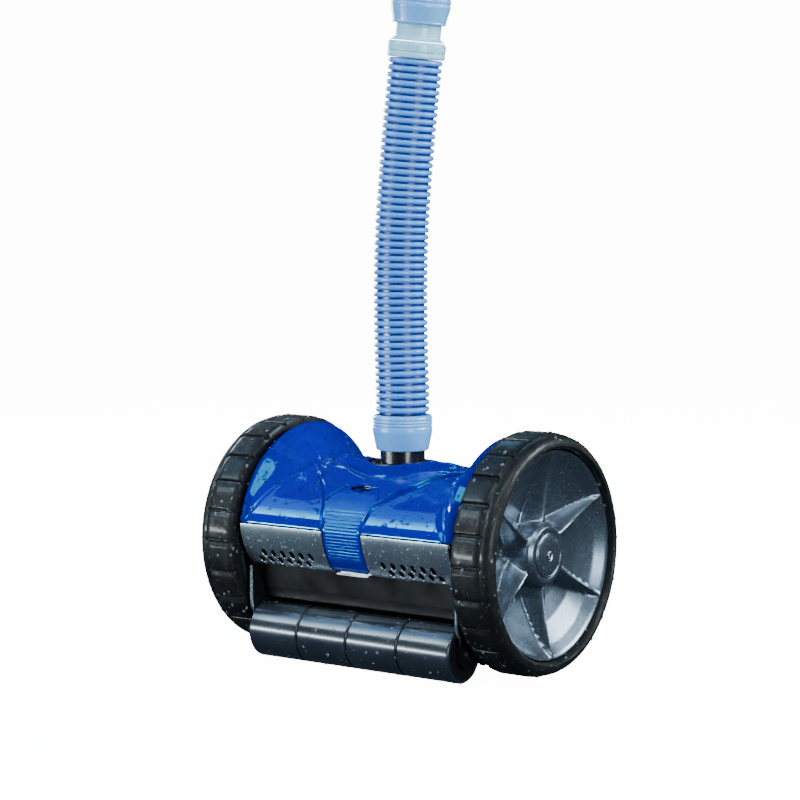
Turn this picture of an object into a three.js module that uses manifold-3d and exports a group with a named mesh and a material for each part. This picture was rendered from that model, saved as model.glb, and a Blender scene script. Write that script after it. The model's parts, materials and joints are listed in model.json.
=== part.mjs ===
// Suction pool cleaner on two large driven wheels. A spool-shaped body sits between
// the wheels, four roller sleeves carry its nose, and a corrugated hose stands on a
// swivel tube in its hinged cover.
// Millimetres. +X to the right wheel, -Y to the roller side, +Z up.
// Origin on the floor, midway between the wheels, under the axle.
import * as THREE from "three";
import { mergeVertices } from "three/addons/utils/BufferGeometryUtils.js";
import Module from "manifold-3d";

const wasm = await Module();
wasm.setup();

// ---- driving dimensions -------------------------------------------------------
const GAP = 0.4; // air between pieces that only touch
const WALL = 3; // moulded wall thickness
const SEAM = 0.2; // air on the lower side of the split line

const WHEEL_RADIUS = 100;
const AXLE_HEIGHT = WHEEL_RADIUS;
const TYRE_INNER_X = 112.4;
const TYRE_OUTER_X = 150.5;
const RIM_RADIUS = 86;
const RIM_X = 145.6;
const HUB_RADIUS = 26;
const HUB_CAP_RADIUS = 18.5;
const HUB_CAP_X = 142.6;
const AXLE_RADIUS = 6;
const BOSS_RADIUS = 11; // housing boss that holds each stub axle
const WHEEL_ARMS = 6;
const DISC_BACK_X = 113; // the wheel's inner edge
const BUSH_END_X = HUB_CAP_X - 8.4; // outer end of the bush and of the axle in it
const GEAR_SEAT_RADIUS = 68; // the internal gear's outer edge

const BODY_HALF = 107.8; // half the body's width, to the end walls' outer faces
const SPLIT_Z = 117; // the cover meets the lower housing here
const PANEL_FOOT_Z = 80.4; // lower edge of the vented panels
const FLARE_RADIUS = 94; // mudguard flares, round the axle line
const FLARE_RIM = 1.5; // flat rim on the end of each flare
const END_WALL_X = BODY_HALF - WALL - 0.2; // inner face of each end wall
const PANEL_WALL = 2.5;

const TUBE_Y = -8; // swivel tube and hose axis, at X = 0
const TUBE_RADIUS = 19;
const TUBE_BORE = 16.5;
const TUBE_FOOT_Z = 145.8;
const CUFF_FOOT_Z = 178;
const HOSE_FOOT_Z = 208;
const HOSE_RADIUS = 22.8;
const HOSE_BORE = 19.5;

const ROLLER_RADIUS = 23.5;
const ROLLER_Y = -64.4;
const ROLLER_HALF = 103.4;
const ROLLER_COUNT = 4;
const ROLLER_SIDES = 24;
const ROLLER_AXLE_RADIUS = 5;

const FLOOR_Z = 14; // underside of the floor pan
const TURBINE_Z = 72;
const TURBINE_CHAMBER_RADIUS = 31;
const TURBINE_HALF = 24;
const TURBINE_RADIUS = 28;
const TURBINE_BLADES = 6;
const SHAFT_BORE = 4.3; // in the rotor and in its bearings
const INTAKE_HALF = 16; // half the intake's length along Y
const FLANGE_TOP_Z = 21;
const SEAL_FOOT_Z = 142.3;

const GEAR_MODULE = 4;
const TOOTH_TIP = 0.75 * GEAR_MODULE; // tip and root of a tooth, from the pitch circle
const TOOTH_ROOT = 0.95 * GEAR_MODULE;
const BACKLASH = 0.6;
const RING_TEETH = 30;
const PINION_TEETH = 10;
const DRIVE_TEETH = 14;
const DRIVE_X = 76; // middle of the drive gear
const PINION_SHAFT_RADIUS = 4.5;
const PINION_BORE = 5;
const CASE_X = 64;
const PINION_Y = (RING_TEETH - PINION_TEETH) * GEAR_MODULE / 2;

const HINGE_Y = 93.5; // rear hinge of the cover
const HINGE_Z = SPLIT_Z - 1;
const HINGE_KNUCKLE = 4.4;
const HINGE_BORE = 2.2;
const LATCH_PIVOT = [-66.5, 144.6]; // Y, Z
const LATCH_HALF = 19;
const LATCH_TOP_HALF = 25;
const LATCH_TOP_Z = 150;
const LATCH_FOOT_Z = 82;
const LATCH_CHAMFER = 8;
const LATCH_BORE = 1.7;
const SKIRT_PIVOT = [85, 46]; // Y, Z
const SKIRT_HALF = 80;

// The nose and the cover's middle section, as points (Y, Z) from the panel's lower
// edge, over the nose and the top, to the cover's rear edge.
const PANEL_PROFILE = [
  [-73, 79.4], [-78, 82], [-83.4, 88.4], [-88.4, 97], [-92, 107], [-93.4, 117],
];
const PANEL_STEPS = 8;
const COVER_PROFILE = [
  [-93.4, 117], [-91, 126], [-84.5, 135.5], [-73, 144], [-58, 153], [-38, 161],
  [-12, 165.5], [14, 165.5], [38, 161], [60, 151], [78, 136.5], [88, 117],
];

// Drain slots in the panels, as points (X, Z) from a slot's middle; each row starts at
// one slot's middle and goes on outwards.
const DRAIN_SLOT = [[0, -2.6], [1.7, -1.2], [1.7, 1.2], [0, 2.6], [-1.7, 1.2], [-1.7, -1.2]];
const DRAIN_ROWS = [[37.5, 92], [43, 85.6]];
const DRAIN_PITCH = 10;
const DRAIN_COUNT = 6;

// ---- closed solids ------------------------------------------------------------
function signedVolume(geometry) {
  const position = geometry.attributes.position;
  const index = geometry.index.array;
  const [a, b, c] = [new THREE.Vector3(), new THREE.Vector3(), new THREE.Vector3()];
  let volume = 0;
  for (let i = 0; i < index.length; i += 3) {
    a.fromBufferAttribute(position, index[i]);
    b.fromBufferAttribute(position, index[i + 1]);
    c.fromBufferAttribute(position, index[i + 2]);
    volume += a.dot(b.cross(c)) / 6;
  }
  return volume;
}

// One closed body: positions only, shared corners merged, no empty faces, faces out.
function closed(source) {
  const bare = new THREE.BufferGeometry();
  bare.setAttribute("position", source.attributes.position.clone());
  if (source.index) bare.setIndex(Array.from(source.index.array));
  const merged = mergeVertices(bare, 1e-4);
  const faces = [];
  const index = merged.index.array;
  for (let i = 0; i < index.length; i += 3) {
    const [a, b, c] = [index[i], index[i + 1], index[i + 2]];
    if (a !== b && b !== c && c !== a) faces.push(a, b, c);
  }
  merged.setIndex(faces);
  if (signedVolume(merged) < 0) merged.setIndex(faces.reverse());
  return merged;
}

function toManifold(geometry) {
  const body = closed(geometry);
  return new wasm.Manifold(new wasm.Mesh({
    numProp: 3,
    vertProperties: new Float32Array(body.attributes.position.array),
    triVerts: new Uint32Array(body.index.array),
  }));
}

function fromManifold(manifold) {
  const mesh = manifold.getMesh();
  const geometry = new THREE.BufferGeometry();
  geometry.setAttribute("position", new THREE.BufferAttribute(mesh.vertProperties, 3));
  geometry.setIndex(Array.from(mesh.triVerts));
  return geometry;
}

function combine(operation, first, others) {
  let result = toManifold(first);
  for (const other of others) result = result[operation](toManifold(other));
  return fromManifold(result);
}

const join = (first, ...others) => combine("add", first, others);
const cut = (first, ...others) => combine("subtract", first, others);
const common = (first, ...others) => combine("intersect", first, others);
const mirrorX = (geometry) => closed(geometry.clone().scale(-1, 1, 1));

// ---- outlines pushed along an axis, and turned shapes --------------------------
function extrude(outline, depth, holes) {
  const points = (list) => list.map(([a, b]) => new THREE.Vector2(a, b));
  const shape = new THREE.Shape(points(outline));
  shape.holes = holes.map((hole) => new THREE.Path(points(hole)));
  return new THREE.ExtrudeGeometry(shape, { depth, bevelEnabled: false });
}

// Outline in (Y, Z), pushed along X.
function alongX(outline, x0, x1, holes = []) {
  const move = new THREE.Matrix4().set(0, 0, 1, x0, 1, 0, 0, 0, 0, 1, 0, 0, 0, 0, 0, 1);
  return extrude(outline, x1 - x0, holes).applyMatrix4(move);
}

// Outline in (X, Z), pushed along Y.
function alongY(outline, y0, y1) {
  const move = new THREE.Matrix4().set(1, 0, 0, 0, 0, 0, 1, y0, 0, 1, 0, 0, 0, 0, 0, 1);
  return closed(extrude(outline, y1 - y0, []).applyMatrix4(move));
}

function box(low, high) {
  const size = high.map((value, axis) => value - low[axis]);
  const middle = high.map((value, axis) => (value + low[axis]) / 2);
  return new THREE.BoxGeometry(...size).translate(...middle);
}

// Profile of points (radius, height), turned round a closed loop or from axis to axis,
// with a flat of the polygon facing down.
function turned(profile, segments) {
  const points = profile.map(([r, h]) => new THREE.Vector2(r, h));
  if (profile[0][0] > 0) points.push(points[0].clone());
  return new THREE.LatheGeometry(points, segments, Math.PI / segments);
}

function turnedX(profile, segments, y = 0, z = 0) {
  const along = profile.map(([x, r]) => [r, x]);
  return turned(along, segments).rotateZ(-Math.PI / 2).translate(0, y, z);
}

function turnedZ(profile, segments, x = 0, y = 0) {
  return turned(profile, segments).rotateX(Math.PI / 2).translate(x, y, 0);
}

const ringX = (x0, x1, inner, outer, segments, y, z) => turnedX(
  [[x0, inner], [x1, inner], [x1, outer], [x0, outer]], segments, y, z);
const rodX = (x0, x1, radius, segments, y, z) => turnedX(
  [[x0, 0], [x0, radius], [x1, radius], [x1, 0]], segments, y, z);
const ringZ = (z0, z1, inner, outer, segments, x, y) => turnedZ(
  [[inner, z0], [outer, z0], [outer, z1], [inner, z1]], segments, x, y);
const rodZ = (z0, z1, radius, segments, x, y) => turnedZ(
  [[0, z0], [radius, z0], [radius, z1], [0, z1]], segments, x, y);

// Radius of the corners of a polygon that measures the given radius across its flats.
const acrossFlats = (radius, segments) => radius / Math.cos(Math.PI / segments);

function arc(y, z, radius, startDeg, endDeg, steps) {
  return Array.from({ length: steps + 1 }, (_, i) => {
    const angle = THREE.MathUtils.degToRad(startDeg + (endDeg - startDeg) * i / steps);
    return [y + radius * Math.cos(angle), z + radius * Math.sin(angle)];
  });
}

// A line moved sideways by a distance: to its right-hand side when positive.
function offsetLine(points, distance) {
  return points.map((point, i) => {
    const before = points[Math.max(i - 1, 0)];
    const after = points[Math.min(i + 1, points.length - 1)];
    const run = [after[0] - before[0], after[1] - before[1]];
    const length = Math.hypot(...run);
    return [point[0] + run[1] / length * distance, point[1] - run[0] / length * distance];
  });
}

// A wall of even thickness whose outer face follows the points.
const wallOutline = (points, thickness) => [
  ...points, ...offsetLine(points, thickness).reverse()];

function smooth(points, count) {
  const curve = new THREE.SplineCurve(points.map(([a, b]) => new THREE.Vector2(a, b)));
  return curve.getSpacedPoints(count).map((p) => [p.x, p.y]);
}

// ---- gears ----------------------------------------------------------------------
// Outline of straight-flanked teeth on involute positions, with a tooth at angle 0.
function gearOutline(teeth, addendum, dedendum, backlash) {
  const pitchRadius = teeth * GEAR_MODULE / 2;
  const pressure = THREE.MathUtils.degToRad(20);
  const involute = (angle) => Math.tan(angle) - angle;
  const halfPitch = Math.PI / teeth / 2 - backlash / 2 / pitchRadius;
  const halfTooth = (radius) => {
    const base = pitchRadius * Math.cos(pressure);
    const angle = Math.acos(Math.min(1, base / radius));
    return halfPitch + involute(pressure) - involute(angle);
  };
  const root = pitchRadius - dedendum;
  const tip = pitchRadius + addendum;
  const outline = [];
  for (let i = 0; i < teeth; i += 1) {
    const middle = i * 2 * Math.PI / teeth;
    const steps = [[root, -1], [tip, -1], [tip, 1], [root, 1]];
    for (const [radius, side] of steps) {
      const angle = middle + side * halfTooth(radius);
      outline.push([radius * Math.cos(angle), radius * Math.sin(angle)]);
    }
  }
  return outline;
}

const movedOutline = (outline, y, z) => outline.map(([a, b]) => [a + y, b + z]);

// ---- the cover's outer form -------------------------------------------------------
// Flares start further in over the top of the body than they do at its nose and rear.
function flareStart(y, z) {
  const angle = THREE.MathUtils.radToDeg(Math.atan2(z - AXLE_HEIGHT, Math.abs(y)));
  return THREE.MathUtils.lerp(102, 84, THREE.MathUtils.smoothstep(angle, 8, 42));
}

function coverSection(x, shrink) {
  const last = BODY_HALF - FLARE_RIM;
  return COVER_PROFILE.map(([y, z]) => {
    const start = flareStart(y, z);
    const share = THREE.MathUtils.clamp((Math.abs(x) - start) / (last - start), 0, 1);
    const middle = Math.hypot(y, z - AXLE_HEIGHT);
    const radius = THREE.MathUtils.lerp(middle, FLARE_RADIUS, share ** 1.7) - shrink;
    return [y * radius / middle, AXLE_HEIGHT + (z - AXLE_HEIGHT) * radius / middle];
  });
}

// A solid through sections of equal point counts, closed at both ends.
function loft(sections) {
  const count = sections[0].length;
  const positions = sections.flat(2);
  const faces = [];
  const corner = (section, point) => section * count + point % count;
  for (let s = 0; s + 1 < sections.length; s += 1) {
    for (let p = 0; p < count; p += 1) {
      faces.push(corner(s, p), corner(s + 1, p), corner(s + 1, p + 1));
      faces.push(corner(s, p), corner(s + 1, p + 1), corner(s, p + 1));
    }
  }
  const last = sections.length - 1;
  for (let p = 1; p + 1 < count; p += 1) {
    faces.push(corner(0, 0), corner(0, p), corner(0, p + 1));
    faces.push(corner(last, 0), corner(last, p + 1), corner(last, p));
  }
  const geometry = new THREE.BufferGeometry();
  geometry.setAttribute("position", new THREE.Float32BufferAttribute(positions, 3));
  geometry.setIndex(faces);
  return closed(geometry);
}

// The cover's volume down past the split line, its surface moved in by a shrink.
function coverVolume(stations, shrink) {
  const right = stations.slice(1);
  const xs = [...right.map((x) => -x).reverse(), ...stations];
  return loft(xs.map((x) => {
    const top = coverSection(x, shrink);
    const front = [x, top[0][0], SPLIT_Z - 15];
    const rear = [x, top[top.length - 1][0], SPLIT_Z - 15];
    return [rear, front, ...top.map(([y, z]) => [x, y, z])];
  }));
}

const COVER_STATIONS = [0, 40, 70, 84, 92, 98, 103, BODY_HALF - FLARE_RIM, BODY_HALF];
const CAVITY_STATIONS = [0, 40, 70, 84, 92, 98, END_WALL_X];

// ---- body pieces --------------------------------------------------------------------
// The latch's outline seen from the front, grown by a clearance.
function latchOutline(grow) {
  const top = LATCH_TOP_Z + grow;
  const half = [
    [LATCH_HALF + grow, LATCH_FOOT_Z - grow], [LATCH_HALF + grow, SPLIT_Z + 3],
    [LATCH_TOP_HALF + grow, top - LATCH_CHAMFER], [LATCH_TOP_HALF + grow - LATCH_CHAMFER, top],
  ];
  return [...half, ...half.map(([x, z]) => [-x, z]).reverse()];
}

function topCover() {
  const below = box([-200, -200, 0], [200, 200, SPLIT_Z + GAP]);
  const shell = cut(
    coverVolume(COVER_STATIONS, 0), coverVolume(CAVITY_STATIONS, WALL), below,
    rodZ(SPLIT_Z, 2 * WHEEL_RADIUS, 26 + GAP, 20, 0, TUBE_Y),
    alongY(latchOutline(GAP + 0.2), -100, LATCH_PIVOT[0] + 7.5),
  );
  const lugs = [-25, 25].map((x) => join(
    box([x - 6, 80, SPLIT_Z + GAP], [x + 6, HINGE_Y, SPLIT_Z + 3.4]),
    rodX(x - 6, x + 6, HINGE_KNUCKLE, 16, HINGE_Y, HINGE_Z),
  ));
  const ear = box([26.5, -69.5, 140], [31, -63, 148.2]);
  return cut(
    join(shell, ...lugs, mirrorX(ear), ear),
    rodX(-40, 40, HINGE_BORE, 16, HINGE_Y, HINGE_Z),
    rodX(-29, 29, LATCH_BORE, 12, ...LATCH_PIVOT),
  );
}

function latch() {
  const line = [...PANEL_PROFILE.slice(1), ...COVER_PROFILE.slice(1, 4), [-64, 149.4]];
  const skin = alongX(wallOutline(offsetLine(smooth(line, 16), -0.4), WALL), -30, 30);
  const pad = common(skin, alongY(latchOutline(0), -100, -60));
  const notch = alongY([[-7, 146.2], [7, 146.2], [7, 160], [-7, 160]], -80, -50);
  const knuckle = rodX(-20, 20, 3, 14, ...LATCH_PIVOT);
  const bore = rodX(-30, 30, LATCH_BORE, 12, ...LATCH_PIVOT);
  return cut(join(pad, knuckle), bore, notch);
}

const latchPin = () => rodX(-28.6, 28.6, 1.3, 12, ...LATCH_PIVOT);

// A bent leaf spring behind the latch, held under the cover.
function latchSpring() {
  const line = [[-52, 150.6], [-60, 144], [-76, 130], [-82.5, 122]];
  return alongX(wallOutline(line, 0.8), -5, 5);
}

// One vented panel beside the latch: two staggered rows of small drain slots.
function ventPanel() {
  const inner = LATCH_HALF + GAP + 0.7;
  const line = smooth(PANEL_PROFILE, PANEL_STEPS);
  const top = box([-200, -200, SPLIT_Z - SEAM], [200, 200, 200]);
  const foot = box([-200, -200, 0], [200, 200, PANEL_FOOT_Z]);
  const slots = [];
  for (let i = 0; i < DRAIN_COUNT; i += 1) {
    for (const [x, z] of DRAIN_ROWS) {
      slots.push(alongY(movedOutline(DRAIN_SLOT, x + i * DRAIN_PITCH, z), -100, -70));
    }
  }
  return cut(alongX(wallOutline(line, PANEL_WALL), inner, BODY_HALF), top, foot, ...slots);
}

// Bent plate that the latch hooks under.
const latchCatch = () => alongX(
  [[-77.5, 79.2], [-77.5, 80.8], [-72.6, 80.8], [-72.6, 83], [-71, 83], [-71, 79.2]], -16, 16);

// End wall with the roller's bracket arm, as an outline in (Y, Z).
function endWallOutline() {
  const wallTop = SPLIT_Z - SEAM;
  const panelFoot = PANEL_FOOT_Z - GAP;
  const line = smooth(PANEL_PROFILE, PANEL_STEPS);
  const behindPanel = offsetLine(line, PANEL_WALL + GAP).reverse();
  const covered = behindPanel.filter(([, z]) => z < wallTop && z > panelFoot + 1);
  return [
    [FLARE_RADIUS - 2.6, wallTop], [behindPanel[0][0], wallTop], ...covered,
    [covered.at(-1)[0] + 2, panelFoot], [-79.4, panelFoot - 3], [-79.4, 50], [-76, 40],
    ...arc(ROLLER_Y, ROLLER_RADIUS, 12, 170, 330, 5), [-44, 12],
    [70, 12], [81, 34], [81, 60], [88, 84],
  ];
}

function lowerHousing() {
  const path = [
    [-70.5, 82], [-67, 60], ...arc(ROLLER_Y, ROLLER_RADIUS, 28, 90, -15, 5), [-36, FLOOR_Z],
    [72, FLOOR_Z], [80, 36], [80, 60], [86.5, 84], [88, SPLIT_Z - SEAM],
  ];
  const trough = alongX(wallOutline(path, -WALL), -END_WALL_X - 1, END_WALL_X + 1);
  const wall = alongX(endWallOutline(), END_WALL_X, BODY_HALF);
  const boss = rodX(END_WALL_X - 12, END_WALL_X + 1, BOSS_RADIUS, 20, 0, AXLE_HEIGHT);
  const side = (solid, sign) => (sign > 0 ? solid : mirrorX(solid));
  const ends = [1, -1].flatMap((sign) => [side(wall, sign), side(boss, sign)]);
  const hingeEars = [-37, 37].map((x) => join(
    box([x - 5, 84, SPLIT_Z - 13], [x + 5, HINGE_Y, SPLIT_Z - 3]),
    rodX(x - 5, x + 5, HINGE_KNUCKLE, 16, HINGE_Y, HINGE_Z),
  ));
  const skirtEars = [-1, 1].map((sign) => side(alongX(
    [[76, 40], [SKIRT_PIVOT[0], 40], [SKIRT_PIVOT[0] + 5, 46], [SKIRT_PIVOT[0], 51], [76, 51]],
    SKIRT_HALF + 3, SKIRT_HALF + 8), sign));
  const throat = box([-TURBINE_HALF, TUBE_Y - INTAKE_HALF, 0], [TURBINE_HALF, TUBE_Y + INTAKE_HALF, 30]);
  const bores = [
    rodX(-BODY_HALF - 1, BODY_HALF + 1, AXLE_RADIUS + 0.3, 20, 0, AXLE_HEIGHT),
    rodX(-BODY_HALF - 1, BODY_HALF + 1, ROLLER_AXLE_RADIUS + 0.3, 16, ROLLER_Y, ROLLER_RADIUS),
    rodX(-BODY_HALF - 1, BODY_HALF + 1, PINION_BORE, 16, PINION_Y, AXLE_HEIGHT),
    rodX(-43, 43, HINGE_BORE, 16, HINGE_Y, HINGE_Z),
    rodX(-SKIRT_HALF - 9, SKIRT_HALF + 9, 2.4, 14, ...SKIRT_PIVOT),
  ];
  return cut(
    join(trough, ...ends, ...hingeEars, ...skirtEars),
    throat, ...bores, ...screwPlaces().map(screwHole));
}

const hingePin = () => rodX(-41.5, 41.5, 1.8, 16, HINGE_Y, HINGE_Z);

// Rubber flap behind the intake, hung on its own two stub pins.
function rearSkirt() {
  const [y, z] = SKIRT_PIVOT;
  const flap = box([-SKIRT_HALF, y - 1.5, 5], [SKIRT_HALF, y + 1.5, z]);
  return join(
    flap, rodX(-SKIRT_HALF, SKIRT_HALF, 3, 14, y, z),
    rodX(-SKIRT_HALF - 7.5, SKIRT_HALF + 7.5, 2, 14, y, z),
  );
}

// ---- flow path -----------------------------------------------------------------------
function turbineHousing() {
  const outer = TURBINE_CHAMBER_RADIUS + WALL;
  const half = TURBINE_HALF + WALL;
  const neck = rodZ(TURBINE_Z, SEAL_FOOT_Z - 0.3, TUBE_RADIUS + 2, 20, 0, TUBE_Y);
  const seat = FLOOR_Z + WALL + GAP;
  const foot = box([-half, TUBE_Y - 19, seat], [half, TUBE_Y + 19, TURBINE_Z]);
  const flange = box([-half - 10, TUBE_Y - 21, seat], [half + 10, TUBE_Y + 21, FLANGE_TOP_Z]);
  const drum = rodX(-half, half, outer, 22, TUBE_Y, TURBINE_Z);
  return cut(
    join(drum, neck, foot, flange),
    rodX(-TURBINE_HALF, TURBINE_HALF, TURBINE_CHAMBER_RADIUS, 22, TUBE_Y, TURBINE_Z),
    rodZ(TURBINE_Z, 150, TUBE_BORE, 20, 0, TUBE_Y),
    box([-TURBINE_HALF, TUBE_Y - INTAKE_HALF, 0], [TURBINE_HALF, TUBE_Y + INTAKE_HALF, TURBINE_Z]),
    rodX(-half - 1, half + 1, 7.3, 16, TUBE_Y, TURBINE_Z),
    ...screwPlaces().map(screwHole),
  );
}

const screwPlaces = () => [-1, 1].flatMap((a) => [-1, 1].map((b) => [a * 32, TUBE_Y + b * 14]));
const screwHole = ([x, y]) => rodZ(0, 30, 2.4, 10, x, y);

// Pan-head screw through the turbine housing's flange into the floor pan.
function housingScrew([x, y]) {
  const head = FLANGE_TOP_Z + GAP;
  return turnedZ(
    [[0, FLOOR_Z], [2, FLOOR_Z], [2, head], [3.8, head], [3.8, head + 2.4], [0, head + 2.4]],
    10, x, y);
}

const bearing = () => ringX(
  TURBINE_HALF + 0.2, TURBINE_HALF + WALL + 3, SHAFT_BORE, 7, 16, TUBE_Y, TURBINE_Z);

function turbine() {
  const hub = rodX(-TURBINE_HALF + 2, TURBINE_HALF - 2, 9, 18, 0, 0);
  const blade = alongX(
    [[0, 6], [2.2, 6], [5.4, 18], [11, TURBINE_RADIUS - 3], [9, TURBINE_RADIUS - 2], [2.2, 18]],
    -TURBINE_HALF + 2, TURBINE_HALF - 2);
  const blades = Array.from({ length: TURBINE_BLADES }, (_, i) => (
    blade.clone().rotateX(i * 2 * Math.PI / TURBINE_BLADES)));
  const bore = rodX(-50, 50, SHAFT_BORE, 16, 0, 0);
  return cut(join(hub, ...blades), bore).translate(0, TUBE_Y, TURBINE_Z);
}

const turbineShaft = () => rodX(-56, 56, 4, 16, TUBE_Y, TURBINE_Z);

const tubeSeal = () => ringZ(
  SEAL_FOOT_Z, TUBE_FOOT_Z - 0.3, TUBE_BORE + 0.5, TUBE_RADIUS + 1.5, 20, 0, TUBE_Y);

// Black ring in the cover that holds the swivel tube.
const tubeCollar = () => turnedZ(
  [[TUBE_RADIUS + 0.4, 150.6], [28, 150.6], [28, 153.4], [26, 153.4], [26, 163.5],
    [24, 166], [TUBE_RADIUS + 0.4, 166]], 20, 0, TUBE_Y);

const swivelTube = () => turnedZ(
  [[TUBE_BORE, TUBE_FOOT_Z], [25, TUBE_FOOT_Z], [25, 150.2], [TUBE_RADIUS, 150.2],
    [TUBE_RADIUS, 204], [TUBE_BORE, 204]], 20, 0, TUBE_Y);

// ---- hose ------------------------------------------------------------------------------
// Cuff round the tube's upper end: ringed band above a tapered skirt.
const hoseCuff = () => turnedZ(
  [[TUBE_RADIUS + 0.4, CUFF_FOOT_Z], [22.3, CUFF_FOOT_Z], [24.6, CUFF_FOOT_Z + 13],
    [25.2, CUFF_FOOT_Z + 17], [25.2, HOSE_FOOT_Z - 3], [24.2, HOSE_FOOT_Z],
    [TUBE_RADIUS + 0.4, HOSE_FOOT_Z]], 20, 0, TUBE_Y);

// The hose's centre line, chosen by hand: upright from the cuff, then leaning to +X.
const HOSE_ROUTE = [
  [0, TUBE_Y, 208.6], [-0.2, TUBE_Y, 232], [-1.2, TUBE_Y, 256], [-1.8, TUBE_Y, 280],
  [-2.1, TUBE_Y, 304], [-2, TUBE_Y, 328], [-1.3, TUBE_Y, 352], [0, TUBE_Y, 376],
  [1.9, TUBE_Y, 400], [4.2, TUBE_Y, 424], [6.8, TUBE_Y, 448], [9.6, TUBE_Y, 472],
  [11.5, TUBE_Y, 488], [13.4, TUBE_Y, 503.7],
];

const circleOutline = (radius, count) => Array.from({ length: count }, (_, i) => {
  const angle = 2 * Math.PI * i / count;
  return new THREE.Vector2(radius * Math.cos(angle), radius * Math.sin(angle));
});

function hoseTube() {
  const route = new THREE.CatmullRomCurve3(HOSE_ROUTE.map((p) => new THREE.Vector3(...p)));
  const section = new THREE.Shape(circleOutline(HOSE_RADIUS, 12));
  section.holes = [new THREE.Path(circleOutline(HOSE_BORE, 12))];
  return new THREE.ExtrudeGeometry(section, { steps: 8, extrudePath: route });
}

// A piece turned about the hose's line beyond its upper end, from one distance to another.
function hoseEndPiece(profile) {
  const end = new THREE.Vector3(...HOSE_ROUTE.at(-1));
  const before = new THREE.Vector3(...HOSE_ROUTE.at(-3));
  const line = end.clone().sub(before).normalize();
  const turn = new THREE.Quaternion().setFromUnitVectors(new THREE.Vector3(0, 0, 1), line);
  return turnedZ(profile, 20).applyQuaternion(turn).translate(end.x, end.y, end.z);
}

const hoseCollar = () => hoseEndPiece(
  [[HOSE_BORE, 0.4], [23.6, 0.4], [24.3, 2], [24.3, 12], [23, 14], [HOSE_BORE, 14]]);
const hoseNeck = () => hoseEndPiece([[16.5, 14.4], [19, 14.4], [19, 48], [16.5, 48]]);
const couplingCuff = () => hoseEndPiece(
  [[19.4, 28.5], [22, 28.5], [24.5, 40], [25, 44], [25, 66], [24, 69], [19.4, 69]]);

// ---- rollers -----------------------------------------------------------------------------
function rollerSleeve(index) {
  const pitch = 2 * ROLLER_HALF / ROLLER_COUNT;
  const start = -ROLLER_HALF + index * pitch + GAP / 2;
  const end = start + pitch - GAP;
  const outer = acrossFlats(ROLLER_RADIUS, ROLLER_SIDES);
  return ringX(
    start, end, ROLLER_AXLE_RADIUS + 0.4, outer, ROLLER_SIDES, ROLLER_Y, ROLLER_RADIUS);
}

const rollerAxle = () => rodX(
  -BODY_HALF - 1.5, BODY_HALF + 1.5, ROLLER_AXLE_RADIUS, 16, ROLLER_Y, ROLLER_RADIUS);

// ---- wheels (right-hand pieces; the left ones are their mirror images) ----------------------
function tyre() {
  const outer = acrossFlats(WHEEL_RADIUS, 40);
  return turnedX(
    [[TYRE_INNER_X, RIM_RADIUS + GAP], [RIM_X - 2, RIM_RADIUS + GAP], [TYRE_OUTER_X, RIM_RADIUS + 3],
      [TYRE_OUTER_X, 92], [TYRE_OUTER_X - 4, 97.5], [TYRE_OUTER_X - 12, outer],
      [TYRE_INNER_X, outer]], 40, 0, AXLE_HEIGHT);
}

// One ridged arm of the star: wide and deep at the hub, a point at the rim.
function wheelArm() {
  const stations = [[20, 13.5, 119, 139], [52, 6.5, 129, 141], [84.5, 0.6, 141, RIM_X - 0.4]];
  return loft(stations.map(([radius, half, back, ridge]) => [
    [back, -half, radius], [ridge, 0, radius], [back, half, radius]]));
}

function wheelDisc() {
  const capHole = HUB_CAP_RADIUS + GAP;
  const seatX = HUB_CAP_X - 6; // the hub cap sits against this face
  const bowl = turnedX([
    [DISC_BACK_X, 10], [seatX, 10], [seatX, capHole], [HUB_CAP_X - 1, capHole],
    [HUB_CAP_X - 1, HUB_RADIUS - 2], [HUB_CAP_X - 4, HUB_RADIUS], [122, 30],
    [130, 60], [RIM_X, 84], [RIM_X - 1, RIM_RADIUS - GAP / 2],
    [DISC_BACK_X, RIM_RADIUS - GAP / 2], [DISC_BACK_X, 82.5], [138, 79], [127, 60],
    [119.6, 28], [119.6, 15.5], [DISC_BACK_X, 14],
  ], 24);
  const gearSeat = ringX(119.8, 132.5, 64.5, GEAR_SEAT_RADIUS, 24, 0, 0);
  const arms = Array.from({ length: WHEEL_ARMS }, (_, i) => (
    wheelArm().rotateX(i * 2 * Math.PI / WHEEL_ARMS)));
  const hubHole = rodX(100, HUB_CAP_X - 8, AXLE_RADIUS + 4, 20, 0, 0);
  const capSeat = rodX(seatX, 160, capHole, 24, 0, 0);
  return cut(join(bowl, gearSeat, ...arms), hubHole, capSeat).translate(0, 0, AXLE_HEIGHT);
}

// Internal gear fixed in the back of the wheel.
function wheelGear() {
  const teeth = gearOutline(RING_TEETH, TOOTH_ROOT, TOOTH_TIP, -BACKLASH);
  const rim = arc(0, 0, GEAR_SEAT_RADIUS, 0, 360, 24).slice(0, -1);
  return alongX(rim, 113.4, 119.4, [teeth]).translate(0, 0, AXLE_HEIGHT);
}

const hubCap = () => turnedX(
  [[HUB_CAP_X - 5.6, 4], [HUB_CAP_X - 5.6, HUB_CAP_RADIUS], [HUB_CAP_X - 1, HUB_CAP_RADIUS],
    [HUB_CAP_X, HUB_CAP_RADIUS - 1.5], [HUB_CAP_X, 4]], 24, 0, AXLE_HEIGHT);

const hubScrew = () => turnedX(
  [[HUB_CAP_X - 3, 0], [HUB_CAP_X - 3, 3.6], [HUB_CAP_X + 0.6, 3.6], [HUB_CAP_X + 0.6, 1.8],
    [HUB_CAP_X - 1.2, 1.8], [HUB_CAP_X - 1.2, 0]], 14, 0, AXLE_HEIGHT);

const wheelBush = () => ringX(
  DISC_BACK_X + 0.5, BUSH_END_X, AXLE_RADIUS + 0.4, AXLE_RADIUS + 3.6, 20, 0, AXLE_HEIGHT);

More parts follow.
